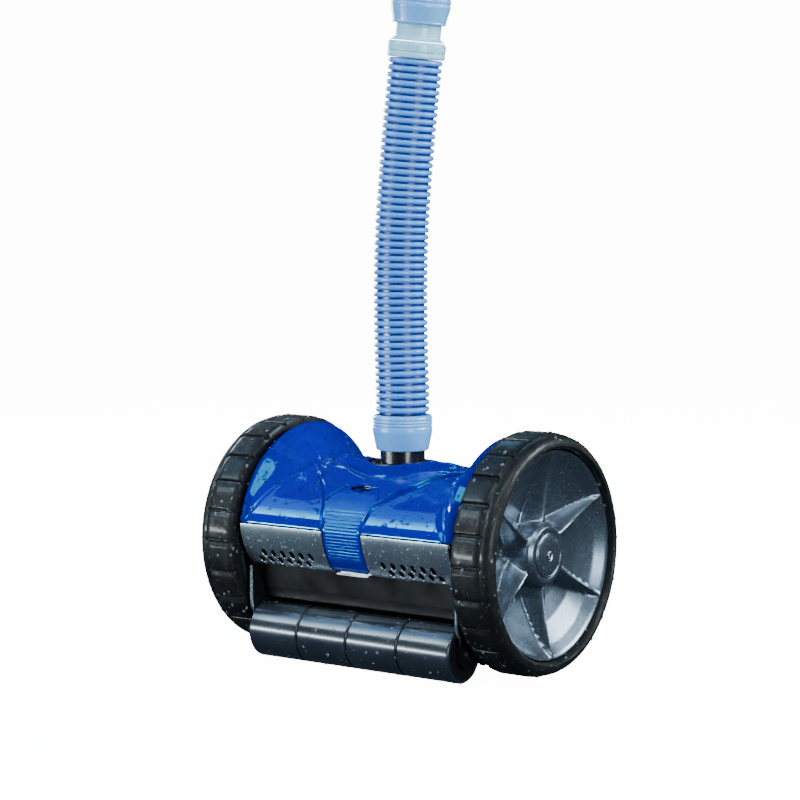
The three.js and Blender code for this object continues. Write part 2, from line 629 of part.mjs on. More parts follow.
// Fixed stub axle, with a collar against the inside of the housing's boss.
const stubAxle = () => turnedX(
  [[88, 0], [88, BOSS_RADIUS], [92, BOSS_RADIUS], [92, AXLE_RADIUS], [BUSH_END_X, AXLE_RADIUS],
    [BUSH_END_X, 0]], 20, 0, AXLE_HEIGHT);

// ---- wheel drives ------------------------------------------------------------------------
// Pinion and its shaft: the pinion turns inside the wheel's internal gear.
function pinion() {
  const gear = alongX(
    movedOutline(
      gearOutline(PINION_TEETH, TOOTH_TIP, TOOTH_ROOT, BACKLASH), PINION_Y, AXLE_HEIGHT),
    110, 118.6);
  return join(gear, rodX(60, 111, PINION_SHAFT_RADIUS, 16, PINION_Y, AXLE_HEIGHT));
}

// Large gear on the inner end of the pinion's shaft, inside the gear case.
function driveGear() {
  const teeth = movedOutline(
    gearOutline(DRIVE_TEETH, TOOTH_TIP, TOOTH_ROOT, BACKLASH), PINION_Y, AXLE_HEIGHT);
  const bore = arc(PINION_Y, AXLE_HEIGHT, 4.9, 0, 360, 16).slice(0, -1);
  return alongX(teeth, DRIVE_X - 4, DRIVE_X + 4, [bore]);
}

// Gear case: a round cup over the drive gear, its open side against the end wall.
function gearCase() {
  const inside = DRIVE_TEETH * GEAR_MODULE / 2 + TOOTH_TIP + 1.5;
  const mouth = BODY_HALF - WALL - 0.5;
  return cut(
    rodX(CASE_X, mouth, inside + 2, 20, PINION_Y, AXLE_HEIGHT),
    rodX(CASE_X + 2.5, mouth + 1, inside, 20, PINION_Y, AXLE_HEIGHT),
    rodX(CASE_X - 5, mouth, PINION_BORE, 16, PINION_Y, AXLE_HEIGHT),
    rodX(CASE_X - 5, mouth + 1, BOSS_RADIUS + GAP, 20, 0, AXLE_HEIGHT),
  );
}

// ---- the assembly ------------------------------------------------------------------------
const COLOURS = {
  blue: [0x1238c8, 0.22, 0.0], gray: [0x85898f, 0.4, 0.5], black: [0x17181a, 0.5, 0.0],
  dark: [0x26282b, 0.55, 0.0], tyre: [0x141414, 0.8, 0.0], slate: [0x4b525c, 0.4, 0.1],
  roller: [0x66696f, 0.45, 0.0], steel: [0xb9bcc0, 0.3, 1.0], hose: [0x6f93cf, 0.35, 0.0],
  pale: [0xb9cdea, 0.4, 0.0], white: [0xd8d8d2, 0.5, 0.0],
};

const cleaner = new THREE.Group();

function piece(name, colour, geometry) {
  const [color, roughness, metalness] = COLOURS[colour];
  const body = closed(geometry);
  body.computeVertexNormals();
  const mesh = new THREE.Mesh(
    body, new THREE.MeshStandardMaterial({ color, roughness, metalness, flatShading: true }));
  mesh.name = name;
  cleaner.add(mesh);
}

function pair(name, colour, geometry) {
  piece(`${name}_right`, colour, geometry);
  piece(`${name}_left`, colour, mirrorX(geometry));
}

piece("lower_housing", "dark", lowerHousing());
pair("vent_panel", "gray", ventPanel());
piece("latch_catch", "steel", latchCatch());
piece("turbine_housing", "black", turbineHousing());
pair("turbine_bearing", "white", bearing());
screwPlaces().forEach((place, i) => piece(`housing_screw_${i + 1}`, "steel", housingScrew(place)));
piece("tube_seal", "black", tubeSeal());
pair("gear_case", "black", gearCase());
pair("stub_axle", "steel", stubAxle());
piece("roller_axle", "steel", rollerAxle());
piece("hinge_pin", "steel", hingePin());

piece("top_cover", "blue", topCover());
piece("tube_collar", "black", tubeCollar());
piece("latch_pin", "steel", latchPin());
piece("latch_spring", "steel", latchSpring());
piece("latch", "blue", latch());
piece("rear_skirt", "black", rearSkirt());

piece("turbine_rotor", "white", turbine());
piece("turbine_shaft", "steel", turbineShaft());

pair("tyre", "tyre", tyre());
pair("wheel_disc", "slate", wheelDisc());
pair("wheel_gear", "white", wheelGear());
pair("hub_cap", "slate", hubCap());
pair("hub_screw", "steel", hubScrew());
pair("wheel_bush", "white", wheelBush());
pair("pinion", "white", pinion());
pair("drive_gear", "white", driveGear());

for (let i = 0; i < ROLLER_COUNT; i += 1) {
  piece(`roller_sleeve_${i + 1}`, "roller", rollerSleeve(i));
}

piece("swivel_tube", "black", swivelTube());
piece("hose_cuff", "hose", hoseCuff());
piece("hose_tube", "hose", hoseTube());
piece("hose_collar", "pale", hoseCollar());
piece("hose_neck", "pale", hoseNeck());
piece("coupling_cuff", "hose", couplingCuff());

export default cleaner;
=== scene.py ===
"""Looks of the suction pool cleaner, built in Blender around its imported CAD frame.

Shapes are worked out in millimetres in the frame's own axes (+X to the right wheel,
-Y to the rollers, +Z up) and turned into metres when a mesh is made.
"""
import json
import math

import bpy
import numpy as np
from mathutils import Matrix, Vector


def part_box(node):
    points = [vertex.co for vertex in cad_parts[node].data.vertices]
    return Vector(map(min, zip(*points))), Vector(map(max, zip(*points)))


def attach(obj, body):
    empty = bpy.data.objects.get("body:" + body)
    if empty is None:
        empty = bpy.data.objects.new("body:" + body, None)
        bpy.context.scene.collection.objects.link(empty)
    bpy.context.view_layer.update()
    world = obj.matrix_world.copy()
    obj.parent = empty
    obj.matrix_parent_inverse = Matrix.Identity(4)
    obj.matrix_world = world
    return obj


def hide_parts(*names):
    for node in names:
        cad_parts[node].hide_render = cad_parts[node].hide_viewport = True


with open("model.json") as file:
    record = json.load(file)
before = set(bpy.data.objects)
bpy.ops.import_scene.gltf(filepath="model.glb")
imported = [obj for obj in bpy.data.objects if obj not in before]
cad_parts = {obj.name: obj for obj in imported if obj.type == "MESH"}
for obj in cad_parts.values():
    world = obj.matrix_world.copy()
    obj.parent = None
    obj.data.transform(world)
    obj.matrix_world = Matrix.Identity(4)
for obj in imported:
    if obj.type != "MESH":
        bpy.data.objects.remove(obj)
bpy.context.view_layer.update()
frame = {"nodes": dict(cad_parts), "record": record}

MM = 0.001

# ---- camera ----
CAMERA_AT = (1.16212, -1.58331, 0.38631)
CAMERA_TILT = 85.14
CAMERA_TURN = 36.48
LENS = 105.13
SENSOR = 36.0

# ---- dimensions that the frame gives ----


def cad_box(node):
    """Lowest and highest corner of a CAD node, in millimetres."""
    low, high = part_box(node)
    return np.array(low) / MM, np.array(high) / MM


def middle(node):
    low, high = cad_box(node)
    return (low + high) / 2


TYRE_LOW, TYRE_HIGH = cad_box("tyre_right")
AXLE_Z = middle("wheel_gear_right")[2]
WHEEL_R = AXLE_Z
TYRE_IN, TYRE_OUT = TYRE_LOW[0], TYRE_HIGH[0]
RIM_R = 86.0
DISC_IN, RIM_X = cad_box("wheel_disc_right")[0][0], cad_box("wheel_disc_right")[1][0]
CAP_IN, CAP_X = cad_box("hub_cap_right")[0][0], cad_box("hub_cap_right")[1][0]
CAP_R = 18.5
HUB_R = 26.0
BODY_HALF = cad_box("top_cover")[1][0]
SPLIT_Z = cad_box("vent_panel_right")[1][2] + 0.2
TUBE_Y = middle("swivel_tube")[1]
TUBE_LOW, TUBE_HIGH = cad_box("swivel_tube")
CUFF_LOW, CUFF_HIGH = cad_box("hose_cuff")
ROLLER_Y, ROLLER_Z = middle("roller_sleeve_1")[1:]
ROLLER_R = 23.5
LATCH_FOOT = cad_box("latch")[0][2]

# ---- form that the cover, the panels and the latch share, as in the CAD ----
PANEL_PROFILE = [(-73, 79.4), (-78, 82), (-83.4, 88.4), (-88.4, 97), (-92, 107), (-93.4, 117)]
COVER_PROFILE = [
    (-93.4, 117), (-91, 126), (-84.5, 135.5), (-73, 144), (-58, 153), (-38, 161),
    (-12, 165.5), (14, 165.5), (38, 161), (60, 151), (78, 136.5), (88, 117),
]
FLARE_R = 94.0
FLARE_RIM = 1.5
HOSE_ROUTE = [
    (0, 208.6), (-0.2, 232), (-1.2, 256), (-1.8, 280), (-2.1, 304), (-2, 328),
    (-1.3, 352), (0, 376), (1.9, 400), (4.2, 424), (6.8, 448), (9.6, 472),
    (11.5, 488), (13.4, 503.7),
]  # X and Z; the whole route lies at Y = TUBE_Y
HOSE_R = 22.8
HOSE_BORE = 19.0
HOSE_PITCH = 6.1
EDGE_WIDTH = 0.35  # softening of the edges of the CAD pieces


# ---- small maths helpers ----
def smoothstep(value, low, high):
    t = np.clip((value - low) / (high - low), 0, 1)
    return t * t * (3 - 2 * t)


def lerp(a, b, t):
    return a + (b - a) * t


def spline(points, count):
    """Evenly spaced points on a smooth curve through the given ones, and their lengths."""
    points = np.array(points, float)
    padded = np.vstack([2 * points[0] - points[1], points, 2 * points[-1] - points[-2]])
    rows = []
    for i in range(len(points) - 1):
        p0, p1, p2, p3 = padded[i:i + 4]
        t = np.linspace(0, 1, 60, endpoint=i == len(points) - 2)[:, None]
        rows.append(0.5 * (
            2 * p1 + (p2 - p0) * t + (2 * p0 - 5 * p1 + 4 * p2 - p3) * t ** 2
            + (3 * p1 - p0 - 3 * p2 + p3) * t ** 3))
    dense = np.vstack(rows)
    lengths = np.r_[0, np.cumsum(np.linalg.norm(np.diff(dense, axis=0), axis=1))]
    at = np.linspace(0, lengths[-1], count)
    return np.column_stack([np.interp(at, lengths, column) for column in dense.T]), at


def rounded(profile, radius, steps=4):
    """An open line of points with its inner corners rounded."""
    points = [np.array(p, float) for p in profile]
    line = [points[0]]
    for before, corner, after in zip(points, points[1:], points[2:]):
        a, b = before - corner, after - corner
        reach = min(radius, 0.45 * np.linalg.norm(a), 0.45 * np.linalg.norm(b))
        start = corner + a / np.linalg.norm(a) * reach
        end = corner + b / np.linalg.norm(b) * reach
        for i in range(steps + 1):
            t = i / steps
            line.append((1 - t) ** 2 * start + 2 * t * (1 - t) * corner + t * t * end)
    line.append(points[-1])
    return [tuple(p) for p in line]


# ---- meshes ----
def add_mesh(name, vertices, faces, material, body, slot=None, replaces=(), sharp=40):
    """A piece from points in millimetres, smooth apart from its sharp edges."""
    mesh = bpy.data.meshes.new(name)
    mesh.from_pydata((np.asarray(vertices, float) * MM).tolist(), [], faces)
    mesh.validate()
    mesh.update()
    for polygon in mesh.polygons:
        polygon.use_smooth = True
    mesh.set_sharp_from_angle(angle=math.radians(sharp))
    piece = bpy.data.objects.new(name, mesh)
    bpy.context.scene.collection.objects.link(piece)
    mesh.materials.append(material)
    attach(piece, body)
    if replaces:
        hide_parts(*replaces)
    return piece


def grid_faces(rows, columns, wrap_rows=False, wrap_columns=False, flip=False, keep=None):
    """Quads of a grid of points stored row by row."""
    faces = []
    for r in range(rows if wrap_rows else rows - 1):
        for c in range(columns if wrap_columns else columns - 1):
            if keep is not None and not keep[r][c]:
                continue
            r1, c1 = (r + 1) % rows, (c + 1) % columns
            quad = (r * columns + c, r * columns + c1, r1 * columns + c1, r1 * columns + c)
            faces.append(quad[::-1] if flip else quad)
    return faces


def turned(profile, segments, to_frame):
    """A profile (radius, height) turned round its axis: closed loop, or from axis to axis."""
    profile = [tuple(map(float, p)) for p in profile]
    capped = profile[0][0] < 1e-6
    ring = profile[1:-1] if capped else profile
    angles = np.arange(segments) * 2 * math.pi / segments
    points = []
    for radius, height in ring:
        for angle in angles:
            points.append((radius * math.cos(angle), radius * math.sin(angle), height))
    faces = grid_faces(len(ring), segments, wrap_rows=not capped, wrap_columns=True)
    if capped:
        first, last = len(points), len(points) + 1
        points += [(0, 0, profile[0][1]), (0, 0, profile[-1][1])]
        end = (len(ring) - 1) * segments
        for c in range(segments):
            c1 = (c + 1) % segments
            faces.append((first, c1, c))
            faces.append((last, end + c, end + c1))
    return to_frame(np.array(points)), faces


def along_x(side, y, z):
    """Turns a shape made about Z to lie along the X axis, mirrored for the left side."""
    def place(points):
        return np.column_stack([side * points[:, 2], y + side * points[:, 0], z + points[:, 1]])
    return place


def along_z(x, y):
    def place(points):
        return points + np.array([x, y, 0.0])
    return place


def solidify(piece, thickness):
    modifier = piece.modifiers.new("Wall", "SOLIDIFY")
    modifier.thickness = thickness * MM
    modifier.offset = -1.0
    modifier.use_even_offset = False
    return piece


def bevel(piece, width):
    modifier = piece.modifiers.new("Edges", "BEVEL")
    modifier.width = width * MM
    modifier.segments = 2
    modifier.limit_method = "ANGLE"
    modifier.angle_limit = math.radians(35)
    modifier.harden_normals = True


# ---- procedural materials ----
class Nodes:
    """A material's node tree, with short calls for the nodes that this scene uses."""

    def __init__(self, name):
        self.material = bpy.data.materials.new(name)
        self.material.use_nodes = True
        self.tree = self.material.node_tree
        self.shader = self.tree.nodes["Principled BSDF"]
        self.place = self.add("ShaderNodeTexCoord").outputs["Object"]

    def add(self, kind):
        return self.tree.nodes.new(kind)

    def link(self, source, target):
        self.tree.links.new(source, target)

    def set(self, **values):
        for key, value in values.items():
            self.shader.inputs[key.replace("_", " ")].default_value = value

    def noise(self, scale, detail=3.0, roughness=0.5, stretch=None):
        node = self.add("ShaderNodeTexNoise")
        node.inputs["Scale"].default_value = scale
        node.inputs["Detail"].default_value = detail
        node.inputs["Roughness"].default_value = roughness
        self.link(self.stretched(stretch), node.inputs["Vector"])
        return node.outputs["Fac"]

    def stretched(self, stretch):
        if stretch is None:
            return self.place
        mapping = self.add("ShaderNodeMapping")
        mapping.inputs["Scale"].default_value = stretch
        self.link(self.place, mapping.inputs["Vector"])
        return mapping.outputs["Vector"]

    def cells(self, scale):
        node = self.add("ShaderNodeTexVoronoi")
        node.inputs["Scale"].default_value = scale
        self.link(self.place, node.inputs["Vector"])
        return node.outputs["Distance"]

    def ramp(self, source, stops):
        """Maps a value to colours or greys: stops are (position, grey or colour)."""
        node = self.add("ShaderNodeValToRGB")
        elements = node.color_ramp.elements
        while len(elements) < len(stops):
            elements.new(0.5)
        for element, (position, colour) in zip(elements, stops):
            element.position = position
            grey = isinstance(colour, (int, float))
            element.color = (colour, colour, colour, 1) if grey else (*colour, 1)
        self.link(source, node.inputs["Fac"])
        return node.outputs["Color"]

    def colour(self, source, stops):
        self.link(self.ramp(source, stops), self.shader.inputs["Base Color"])

    def rough(self, source, stops):
        self.link(self.ramp(source, stops), self.shader.inputs["Roughness"])

    def bump(self, *layers):
        """Layers are (height, distance in millimetres, strength)."""
        normal = None
        for height, distance, strength in layers:
            node = self.add("ShaderNodeBump")
            node.inputs["Strength"].default_value = strength
            node.inputs["Distance"].default_value = distance * MM
            self.link(height, node.inputs["Height"])
            if normal is not None:
                self.link(normal, node.inputs["Normal"])
            normal = node.outputs["Normal"]
        self.link(normal, self.shader.inputs["Normal"])

    def mist(self, scale, size):
        """Fine droplets: small domes at random places, one inside each cell."""
        return self.ramp(self.cells(scale), [(0.0, 1.0), (size * 0.6, 0.7), (size, 0.0)])


def gloss_blue():
    m = Nodes("cover_blue")
    m.set(IOR=1.65, Specular_Tint=(0.03, 0.75, 1.0, 1.0))
    m.colour(m.noise(9, 4), [(0.3, (0.0003, 0.0014, 0.29)), (0.7, (0.0004, 0.0026, 0.38))])
    m.rough(m.noise(60, 4), [(0.35, 0.04), (0.75, 0.1)])
    m.bump((m.noise(300, 2), 0.01, 0.15), (m.mist(300, 0.14), 0.45, 0.9))
    return m.material


def panel_grey():
    m = Nodes("panel_grey")
    m.set(Metallic=0.9, IOR=1.5, Coat_Weight=0.3, Coat_Roughness=0.12)
    m.colour(m.noise(1400, 2, 0.6), [(0.35, (0.40, 0.49, 0.56)), (0.7, (0.48, 0.57, 0.65))])
    m.rough(m.noise(30, 4), [(0.3, 0.23), (0.7, 0.29)])
    m.bump((m.noise(1200, 2), 0.03, 0.2), (m.mist(640, 0.15), 0.2, 0.7))
    return m.material


def satin_black(name, base, low, high, wet):
    m = Nodes(name)
    m.set(IOR=1.48, Coat_Weight=wet, Coat_Roughness=0.08)
    m.colour(m.noise(25, 5), [(0.3, tuple(0.75 * c for c in base)), (0.7, base)])
    m.rough(m.noise(38, 4, 0.6), [(0.35, low), (0.7, high)])
    m.bump((m.noise(900, 3, 0.6), 0.05, 0.3), (m.mist(600, 0.15), 0.2, 0.8))
    return m.material


def tyre_rubber():
    m = Nodes("tyre")
    m.set(IOR=1.5, Coat_Weight=0.1, Coat_Roughness=0.1, Specular_IOR_Level=0.2)
    m.colour(m.noise(55, 5, 0.6), [(0.35, (0.005, 0.006, 0.0065)), (0.7, (0.01, 0.0115, 0.0125))])
    m.rough(m.noise(70, 5, 0.65), [(0.4, 0.36), (0.62, 0.66)])
    m.bump(
        (m.noise(110, 5, 0.62), 0.8, 0.55), (m.noise(700, 3, 0.6), 0.12, 0.5),
        (m.mist(300, 0.2), 0.55, 0.9))
    return m.material


def wheel_slate():
    m = Nodes("wheel_slate")
    m.set(Metallic=0.85, IOR=1.5, Coat_Weight=0.3, Coat_Roughness=0.14)
    m.colour(m.noise(500, 3, 0.6), [(0.3, (0.11, 0.145, 0.185)), (0.7, (0.145, 0.185, 0.235))])
    m.rough(m.noise(35, 4), [(0.3, 0.23), (0.7, 0.31)])
    m.bump((m.noise(1000, 2), 0.04, 0.25), (m.mist(520, 0.2), 0.3, 0.9))
    return m.material


def roller_grey():
    m = Nodes("roller_grey")
    m.set(Metallic=0.35, IOR=1.48, Coat_Weight=0.5, Coat_Roughness=0.16)
    m.colour(m.noise(40, 4), [(0.3, (0.02, 0.028, 0.04)), (0.7, (0.028, 0.038, 0.053))])
    m.rough(m.noise(45, 4), [(0.3, 0.19), (0.7, 0.25)])
    m.bump((m.noise(800, 3, 0.6), 0.06, 0.3), (m.mist(560, 0.18), 0.25, 0.9))
    return m.material


def hose_plastic(name, pale, deep, amount, coat=0.5):
    """Milky translucent hose plastic: light scatters inside it."""
    m = Nodes(name)
    m.set(IOR=1.45, Subsurface_Weight=amount, Subsurface_Radius=(0.35, 0.6, 1.0),
          Subsurface_Scale=0.004, Coat_Weight=coat, Coat_Roughness=0.06)
    m.colour(m.noise(14, 3, stretch=(1, 1, 0.3)), [(0.3, deep), (0.7, pale)])
    m.rough(m.noise(60, 3), [(0.3, 0.16), (0.7, 0.28)])
    m.bump((m.noise(500, 2), 0.05, 0.2), (m.mist(520, 0.16), 0.25, 0.8))
    return m.material


def moulded(name, low, high, rough_low, rough_high):
    m = Nodes(name)
    m.set(IOR=1.5)
    m.colour(m.noise(40, 4), [(0.3, low), (0.7, high)])
    m.rough(m.noise(90, 4, 0.6), [(0.3, rough_low), (0.7, rough_high)])
    m.bump((m.noise(900, 3, 0.6), 0.05, 0.3))
    return m.material


def brushed_steel():
    m = Nodes("steel")
    m.set(Metallic=1.0)
    fine = m.noise(900, 3, 0.6, stretch=(0.08, 1, 1))
    m.colour(fine, [(0.3, (0.52, 0.53, 0.55)), (0.7, (0.68, 0.69, 0.7))])
    m.rough(fine, [(0.3, 0.18), (0.7, 0.32)])
    m.bump((fine, 0.02, 0.3))
    return m.material


def water(name, clear):
    """Water in beads: quite clear, or with a share of pale diffuse colour that is a painted glint, so
    beads off the blue cover show as light dots.
    """
    m = Nodes(name)
    m.set(Roughness=0.02, IOR=1.33, Transmission_Weight=clear, Specular_IOR_Level=0.8)
    m.colour(m.noise(30, 1), [(0.3, (0.78, 0.9, 1.0)), (0.7, (0.86, 0.94, 1.0))])
    m.bump((m.noise(300, 1), 0.02, 0.1))
    return m.material


BLUE = gloss_blue()
GREY = panel_grey()
HOUSING = satin_black("housing_black", (0.005, 0.0055, 0.0065), 0.3, 0.5, wet=0.1)
TUBE_BLACK = satin_black("tube_black", (0.006, 0.007, 0.009), 0.2, 0.32, wet=0.3)
TYRE = tyre_rubber()
SLATE = wheel_slate()
ROLLER = roller_grey()
HOSE_BLUE = hose_plastic("hose_blue", (0.12, 0.40, 1.0), (0.08, 0.31, 0.95), 0.25)
# The valleys between the hose's rings get this dark navy with no coat: painted shade in the creases.
HOSE_VALLEY_SHADE = hose_plastic(
    "hose_valley_painted_shade", (0.012, 0.05, 0.24), (0.008, 0.035, 0.18), 0.1, coat=0.0)
HOSE_CUFF = hose_plastic("hose_cuff_blue", (0.20, 0.53, 1.0), (0.12, 0.42, 1.0), 0.4)
HOSE_PALE = hose_plastic("hose_pale", (0.42, 0.80, 1.0), (0.34, 0.72, 1.0), 0.5)
GEAR = moulded("gear_white", (0.62, 0.61, 0.57), (0.72, 0.71, 0.67), 0.35, 0.5)
SEAL = moulded("seal_rubber", (0.012, 0.012, 0.012), (0.022, 0.022, 0.022), 0.5, 0.7)
STEEL = brushed_steel()
CLEAR_WATER = water("clear_water", 1.0)
# Its pale diffuse share is a painted glint on the beads.
PAINTED_GLINT_WATER = water("water_with_painted_glint", 0.84)


# ---- camera ----
def make_camera():
    camera = bpy.data.objects.new("camera", bpy.data.cameras.new("camera"))
    camera.data.lens = LENS
    camera.data.sensor_width = SENSOR
    camera.data.clip_start = 0.05
    camera.data.clip_end = 60.0
    camera.location = CAMERA_AT
    camera.rotation_euler = (math.radians(CAMERA_TILT), 0, math.radians(CAMERA_TURN))
    bpy.context.scene.collection.objects.link(camera)
    bpy.context.scene.camera = camera


# ---- hose ----
HOSE_END = np.array([HOSE_ROUTE[-1][0], TUBE_Y, HOSE_ROUTE[-1][1]])
HOSE_LEAN = np.array([
    HOSE_ROUTE[-1][0] - HOSE_ROUTE[-3][0], 0.0, HOSE_ROUTE[-1][1] - HOSE_ROUTE[-3][1]])
HOSE_LEAN /= np.linalg.norm(HOSE_LEAN)


def beyond_hose(points):
    """Moves points made about Z onto the hose's line beyond its upper end."""
    turn = Vector((0, 0, 1)).rotation_difference(Vector(HOSE_LEAN)).to_matrix()
    return points @ np.array(turn).T + HOSE_END


RING_DEPTH = 2.8
RING_PHASES = [0.0, 0.25, 0.27, 0.31, 0.38, 0.48, 0.625, 0.77, 0.87, 0.94, 0.98]
RING_MIDDLE, RING_HALF = 0.625, 0.375  # of the pitch; the rest is the valley between rings


def ring_height(phase):
    """Height of the ring profile: a round bead, and a flat valley up to the next one."""
    share = 1 - abs((phase - RING_MIDDLE) / RING_HALF) ** 2.4
    return RING_DEPTH * math.sqrt(max(share, 0))


def hose_tube():
    """The corrugated hose: ribbed outside, smooth bore, on the CAD route; its valleys get a darker
    material, painted shade.
    """
    route, lengths = spline(HOSE_ROUTE, 40)
    total = lengths[-1]
    per_ring, segments = len(RING_PHASES), 56
    rings = round(total / HOSE_PITCH)
    pitch = total / rings
    at = np.array([(ring + p) * pitch for ring in range(rings) for p in RING_PHASES] + [total])
    x = np.interp(at, lengths, route[:, 0])
    z = np.interp(at, lengths, route[:, 1])
    tangent = np.column_stack([np.gradient(x), np.gradient(z)])
    tangent /= np.linalg.norm(tangent, axis=1)[:, None]
    heights = [ring_height(p) for p in RING_PHASES] * rings + [0.0]
    outer = HOSE_R - RING_DEPTH + np.array(heights)
    angles = np.arange(segments) * 2 * math.pi / segments
    layers = [(at_i, r) for at_i, r in enumerate(outer)]
    layers += [(len(at) - 1 - i, HOSE_BORE) for i in range(0, len(at), per_ring)]
    points = []
    for i, radius in layers:
        side = np.array([tangent[i][1], 0, -tangent[i][0]])
        centre = np.array([x[i], TUBE_Y, z[i]])
        for angle in angles:
            offset = side * math.cos(angle) + np.array([0, 1, 0]) * math.sin(angle)
            points.append(centre + radius * offset)
    faces = grid_faces(len(layers), segments, wrap_rows=True, wrap_columns=True)
    hose = add_mesh(
        "corrugated_hose", points, faces, HOSE_BLUE, "swivel", "hose_blue", ["hose_tube"], 75)
    hose.data.materials.append(HOSE_VALLEY_SHADE)
    # Faces in the valleys between rings take the dark material: painted shade.
    for number, face in enumerate(hose.data.polygons):
        row = number // segments
        in_shaded_valley = row % per_ring in (0, per_ring - 1)
        face.material_index = int(row < len(outer) - 1 and in_shaded_valley)
    path = [(a * MM, TUBE_Y * MM, b * MM) for a, b in route]
    return hose, path, total


def hose_cuff():
    """Cuff on the swivel tube: tapered skirt below, a band with fine rings on top."""
    low, high = CUFF_LOW[2], CUFF_HIGH[2]
    skirt = [(19.4, low), (21.6, low), (22.3, low + 0.9), (24.4, low + 12)]
    band = [(25.2, low + 15.5), (25.2, low + 19)]
    rings = []
    for i in range(3):
        z = low + 20.5 + i * 2.6
        rings += [(24.5, z), (25.2, z + 0.7), (25.2, z + 1.5)]
    top = [(24.6, high - 1.2), (23.6, high - 0.2), (19.4, high - 0.2)]
    profile = rounded(skirt + band + rings + top, 0.7, 3)
    return add_mesh(
        "lower_hose_cuff", *turned(profile, 64, along_z(0, TUBE_Y)), HOSE_CUFF, "swivel",
        "hose_blue", ["hose_cuff"], 50)


def hose_collar():
    profile = rounded([
        (HOSE_BORE, 0.4), (23.2, 0.4), (24.3, 1.6), (24.3, 4.2), (23.7, 4.8), (23.7, 5.6),
        (24.3, 6.2), (24.3, 12), (22.4, 14), (HOSE_BORE, 14)], 0.8, 3)
    return add_mesh(
        "upper_hose_collar", *turned(profile, 64, beyond_hose), HOSE_PALE, "swivel",
        "hose_pale", ["hose_collar"], 50)


def hose_neck():
    profile = rounded([
        (16.5, 14.4), (22.4, 14.4), (21.6, 15.6), (19.6, 16.6), (19, 18), (19, 26), (19.3, 26.8),
        (19, 27.6), (19, 48), (16.5, 48)], 0.5, 3)
    return add_mesh(
        "upper_hose_neck", *turned(profile, 64, beyond_hose), HOSE_PALE, "swivel",
        "hose_pale", ["hose_neck"], 50)


def coupling_cuff():
    """Cuff of the next joint: lip and taper below, a ringed band above."""
    profile = [(19.4, 28.5), (21.8, 28.5), (22.6, 29.6), (22.2, 30.8), (24.3, 40), (25, 43)]
    for i in range(5):
        z = 45 + i * 4.2
        profile += [(25, z), (24.3, z + 0.6), (24.3, z + 1.4), (25, z + 2)]
    profile += [(25, 67), (24, 69), (19.4, 69)]
    return add_mesh(
        "upper_coupling_cuff", *turned(rounded(profile, 0.5, 3), 64, beyond_hose), HOSE_CUFF,
        "swivel", "hose_blue", ["coupling_cuff"], 50)


def swivel_tube():
    low, top = TUBE_LOW[2], TUBE_HIGH[2]
    profile = rounded([
        (16.5, low), (25, low), (25, low + 4.4), (19, low + 4.4), (19, top), (16.5, top)], 0.5, 3)
    return add_mesh(
        "black_swivel_tube", *turned(profile, 72, along_z(0, TUBE_Y)), TUBE_BLACK, "swivel",
        "tube_black", ["swivel_tube"], 50)


make_camera()
hose, hose_path, hose_length = hose_tube()
hose_pieces = [hose_cuff(), hose_collar(), hose_neck(), coupling_cuff()]
swivel_tube()


# ---- the shared nose and cover form ----
NOSE_LINE, NOSE_AT = spline(PANEL_PROFILE + COVER_PROFILE[1:], 3000)


def seam_length():
    """Distance along the nose line at which it crosses the seam."""
    front = NOSE_LINE[:, 0] < -60
    return np.interp(SPLIT_Z, NOSE_LINE[front][:, 1], NOSE_AT[front])


SEAM_AT = seam_length()
COVER_END = NOSE_AT[-1] - SEAM_AT


def nose_at(up):
    """Y and Z on the nose line, at a distance along it above the seam."""
    return (np.interp(up + SEAM_AT, NOSE_AT, NOSE_LINE[:, 0]),
            np.interp(up + SEAM_AT, NOSE_AT, NOSE_LINE[:, 1]))


def up_at_height(z):
    """Distance above the seam at which the front of the nose line reaches a height."""
    front = (NOSE_LINE[:, 0] < -40) & (NOSE_AT > 1)
    return float(np.interp(z, NOSE_LINE[front][:, 1], NOSE_AT[front]) - SEAM_AT)


def up_at_depth(y):
    """Distance above the seam at which the top of the nose line reaches a depth Y."""
    top = NOSE_LINE[:, 1] > SPLIT_Z + 1
    return np.interp(y, NOSE_LINE[top][:, 0], NOSE_AT[top]) - SEAM_AT


CREASE_LINE, _ = spline([
    (19.8, 0), (20.4, 11), (23.9, 24), (29.4, 33), (36.8, 42.5), (47.5, 53), (54.6, 63),
    (61.1, 73), (69, 81), (76, 88), (80, 96)], 300)  # the bonnet's half-width, and how far up
BONNET_RISE = 1.7
LIP_RISE = [(-20, 4.9), (0, 4.3), (20, 4.9), (40, 7.2), (50, 7.4), (58, 6.2), (63, 2), (66, 0), (70, 0)]
CROWN_SINK = 6.0  # how far the cover sinks beside the tube, behind the lip's ends
LIP_FOOT = [(-20, 65.5), (0, 60), (20, 65.5), (40, 76), (57, 83), (70, 89)]  # where its face begins
LIP_RIDGE_Y = [(-20, -31.5), (0, -35.8), (20, -31.5), (40, -25.5), (57, -18), (70, -13)]
LIP_DIP = [(-20, 5.2), (0, 5.4), (20, 5.2), (40, 4.2), (57, 2.2), (64, 0.4), (70, 0)]  # its hollow
LATCH_TOP = up_at_height(150.6)
LATCH_LOW = up_at_height(LATCH_FOOT)
SLOT_EDGE = 19.6
SLOT_Z = [SPLIT_Z, 120, 142.6, 150.6]
SLOT_HALF = [SLOT_EDGE, SLOT_EDGE, 25.6, 17.6]
VALLEY_X = [
    (8, 103), (12, 99.5), (15.6, 96.4), (20.2, 91.6), (26, 88.6), (32, 87.2), (40, 85), (56, 77),
    (70, 73), (90, 73)]  # degrees round the axle above level, and where the flares start
VALLEY_DIP = 2.2
FINGER_HOLE = (-0.4, LATCH_TOP - 1.0, 11.0, 5.6)  # X, distance up, and its two half-axes
COLLAR_Y = TUBE_Y + 3.6
COLLAR_HOLE = 30.0
COVER_WALL = 2.6
PANEL_WALL = 2.3
WELL_WALL = 0.9


def slot_half(up):
    """Half the width of the latch's slot in the cover."""
    return np.interp(nose_at(up)[1], SLOT_Z, SLOT_HALF)


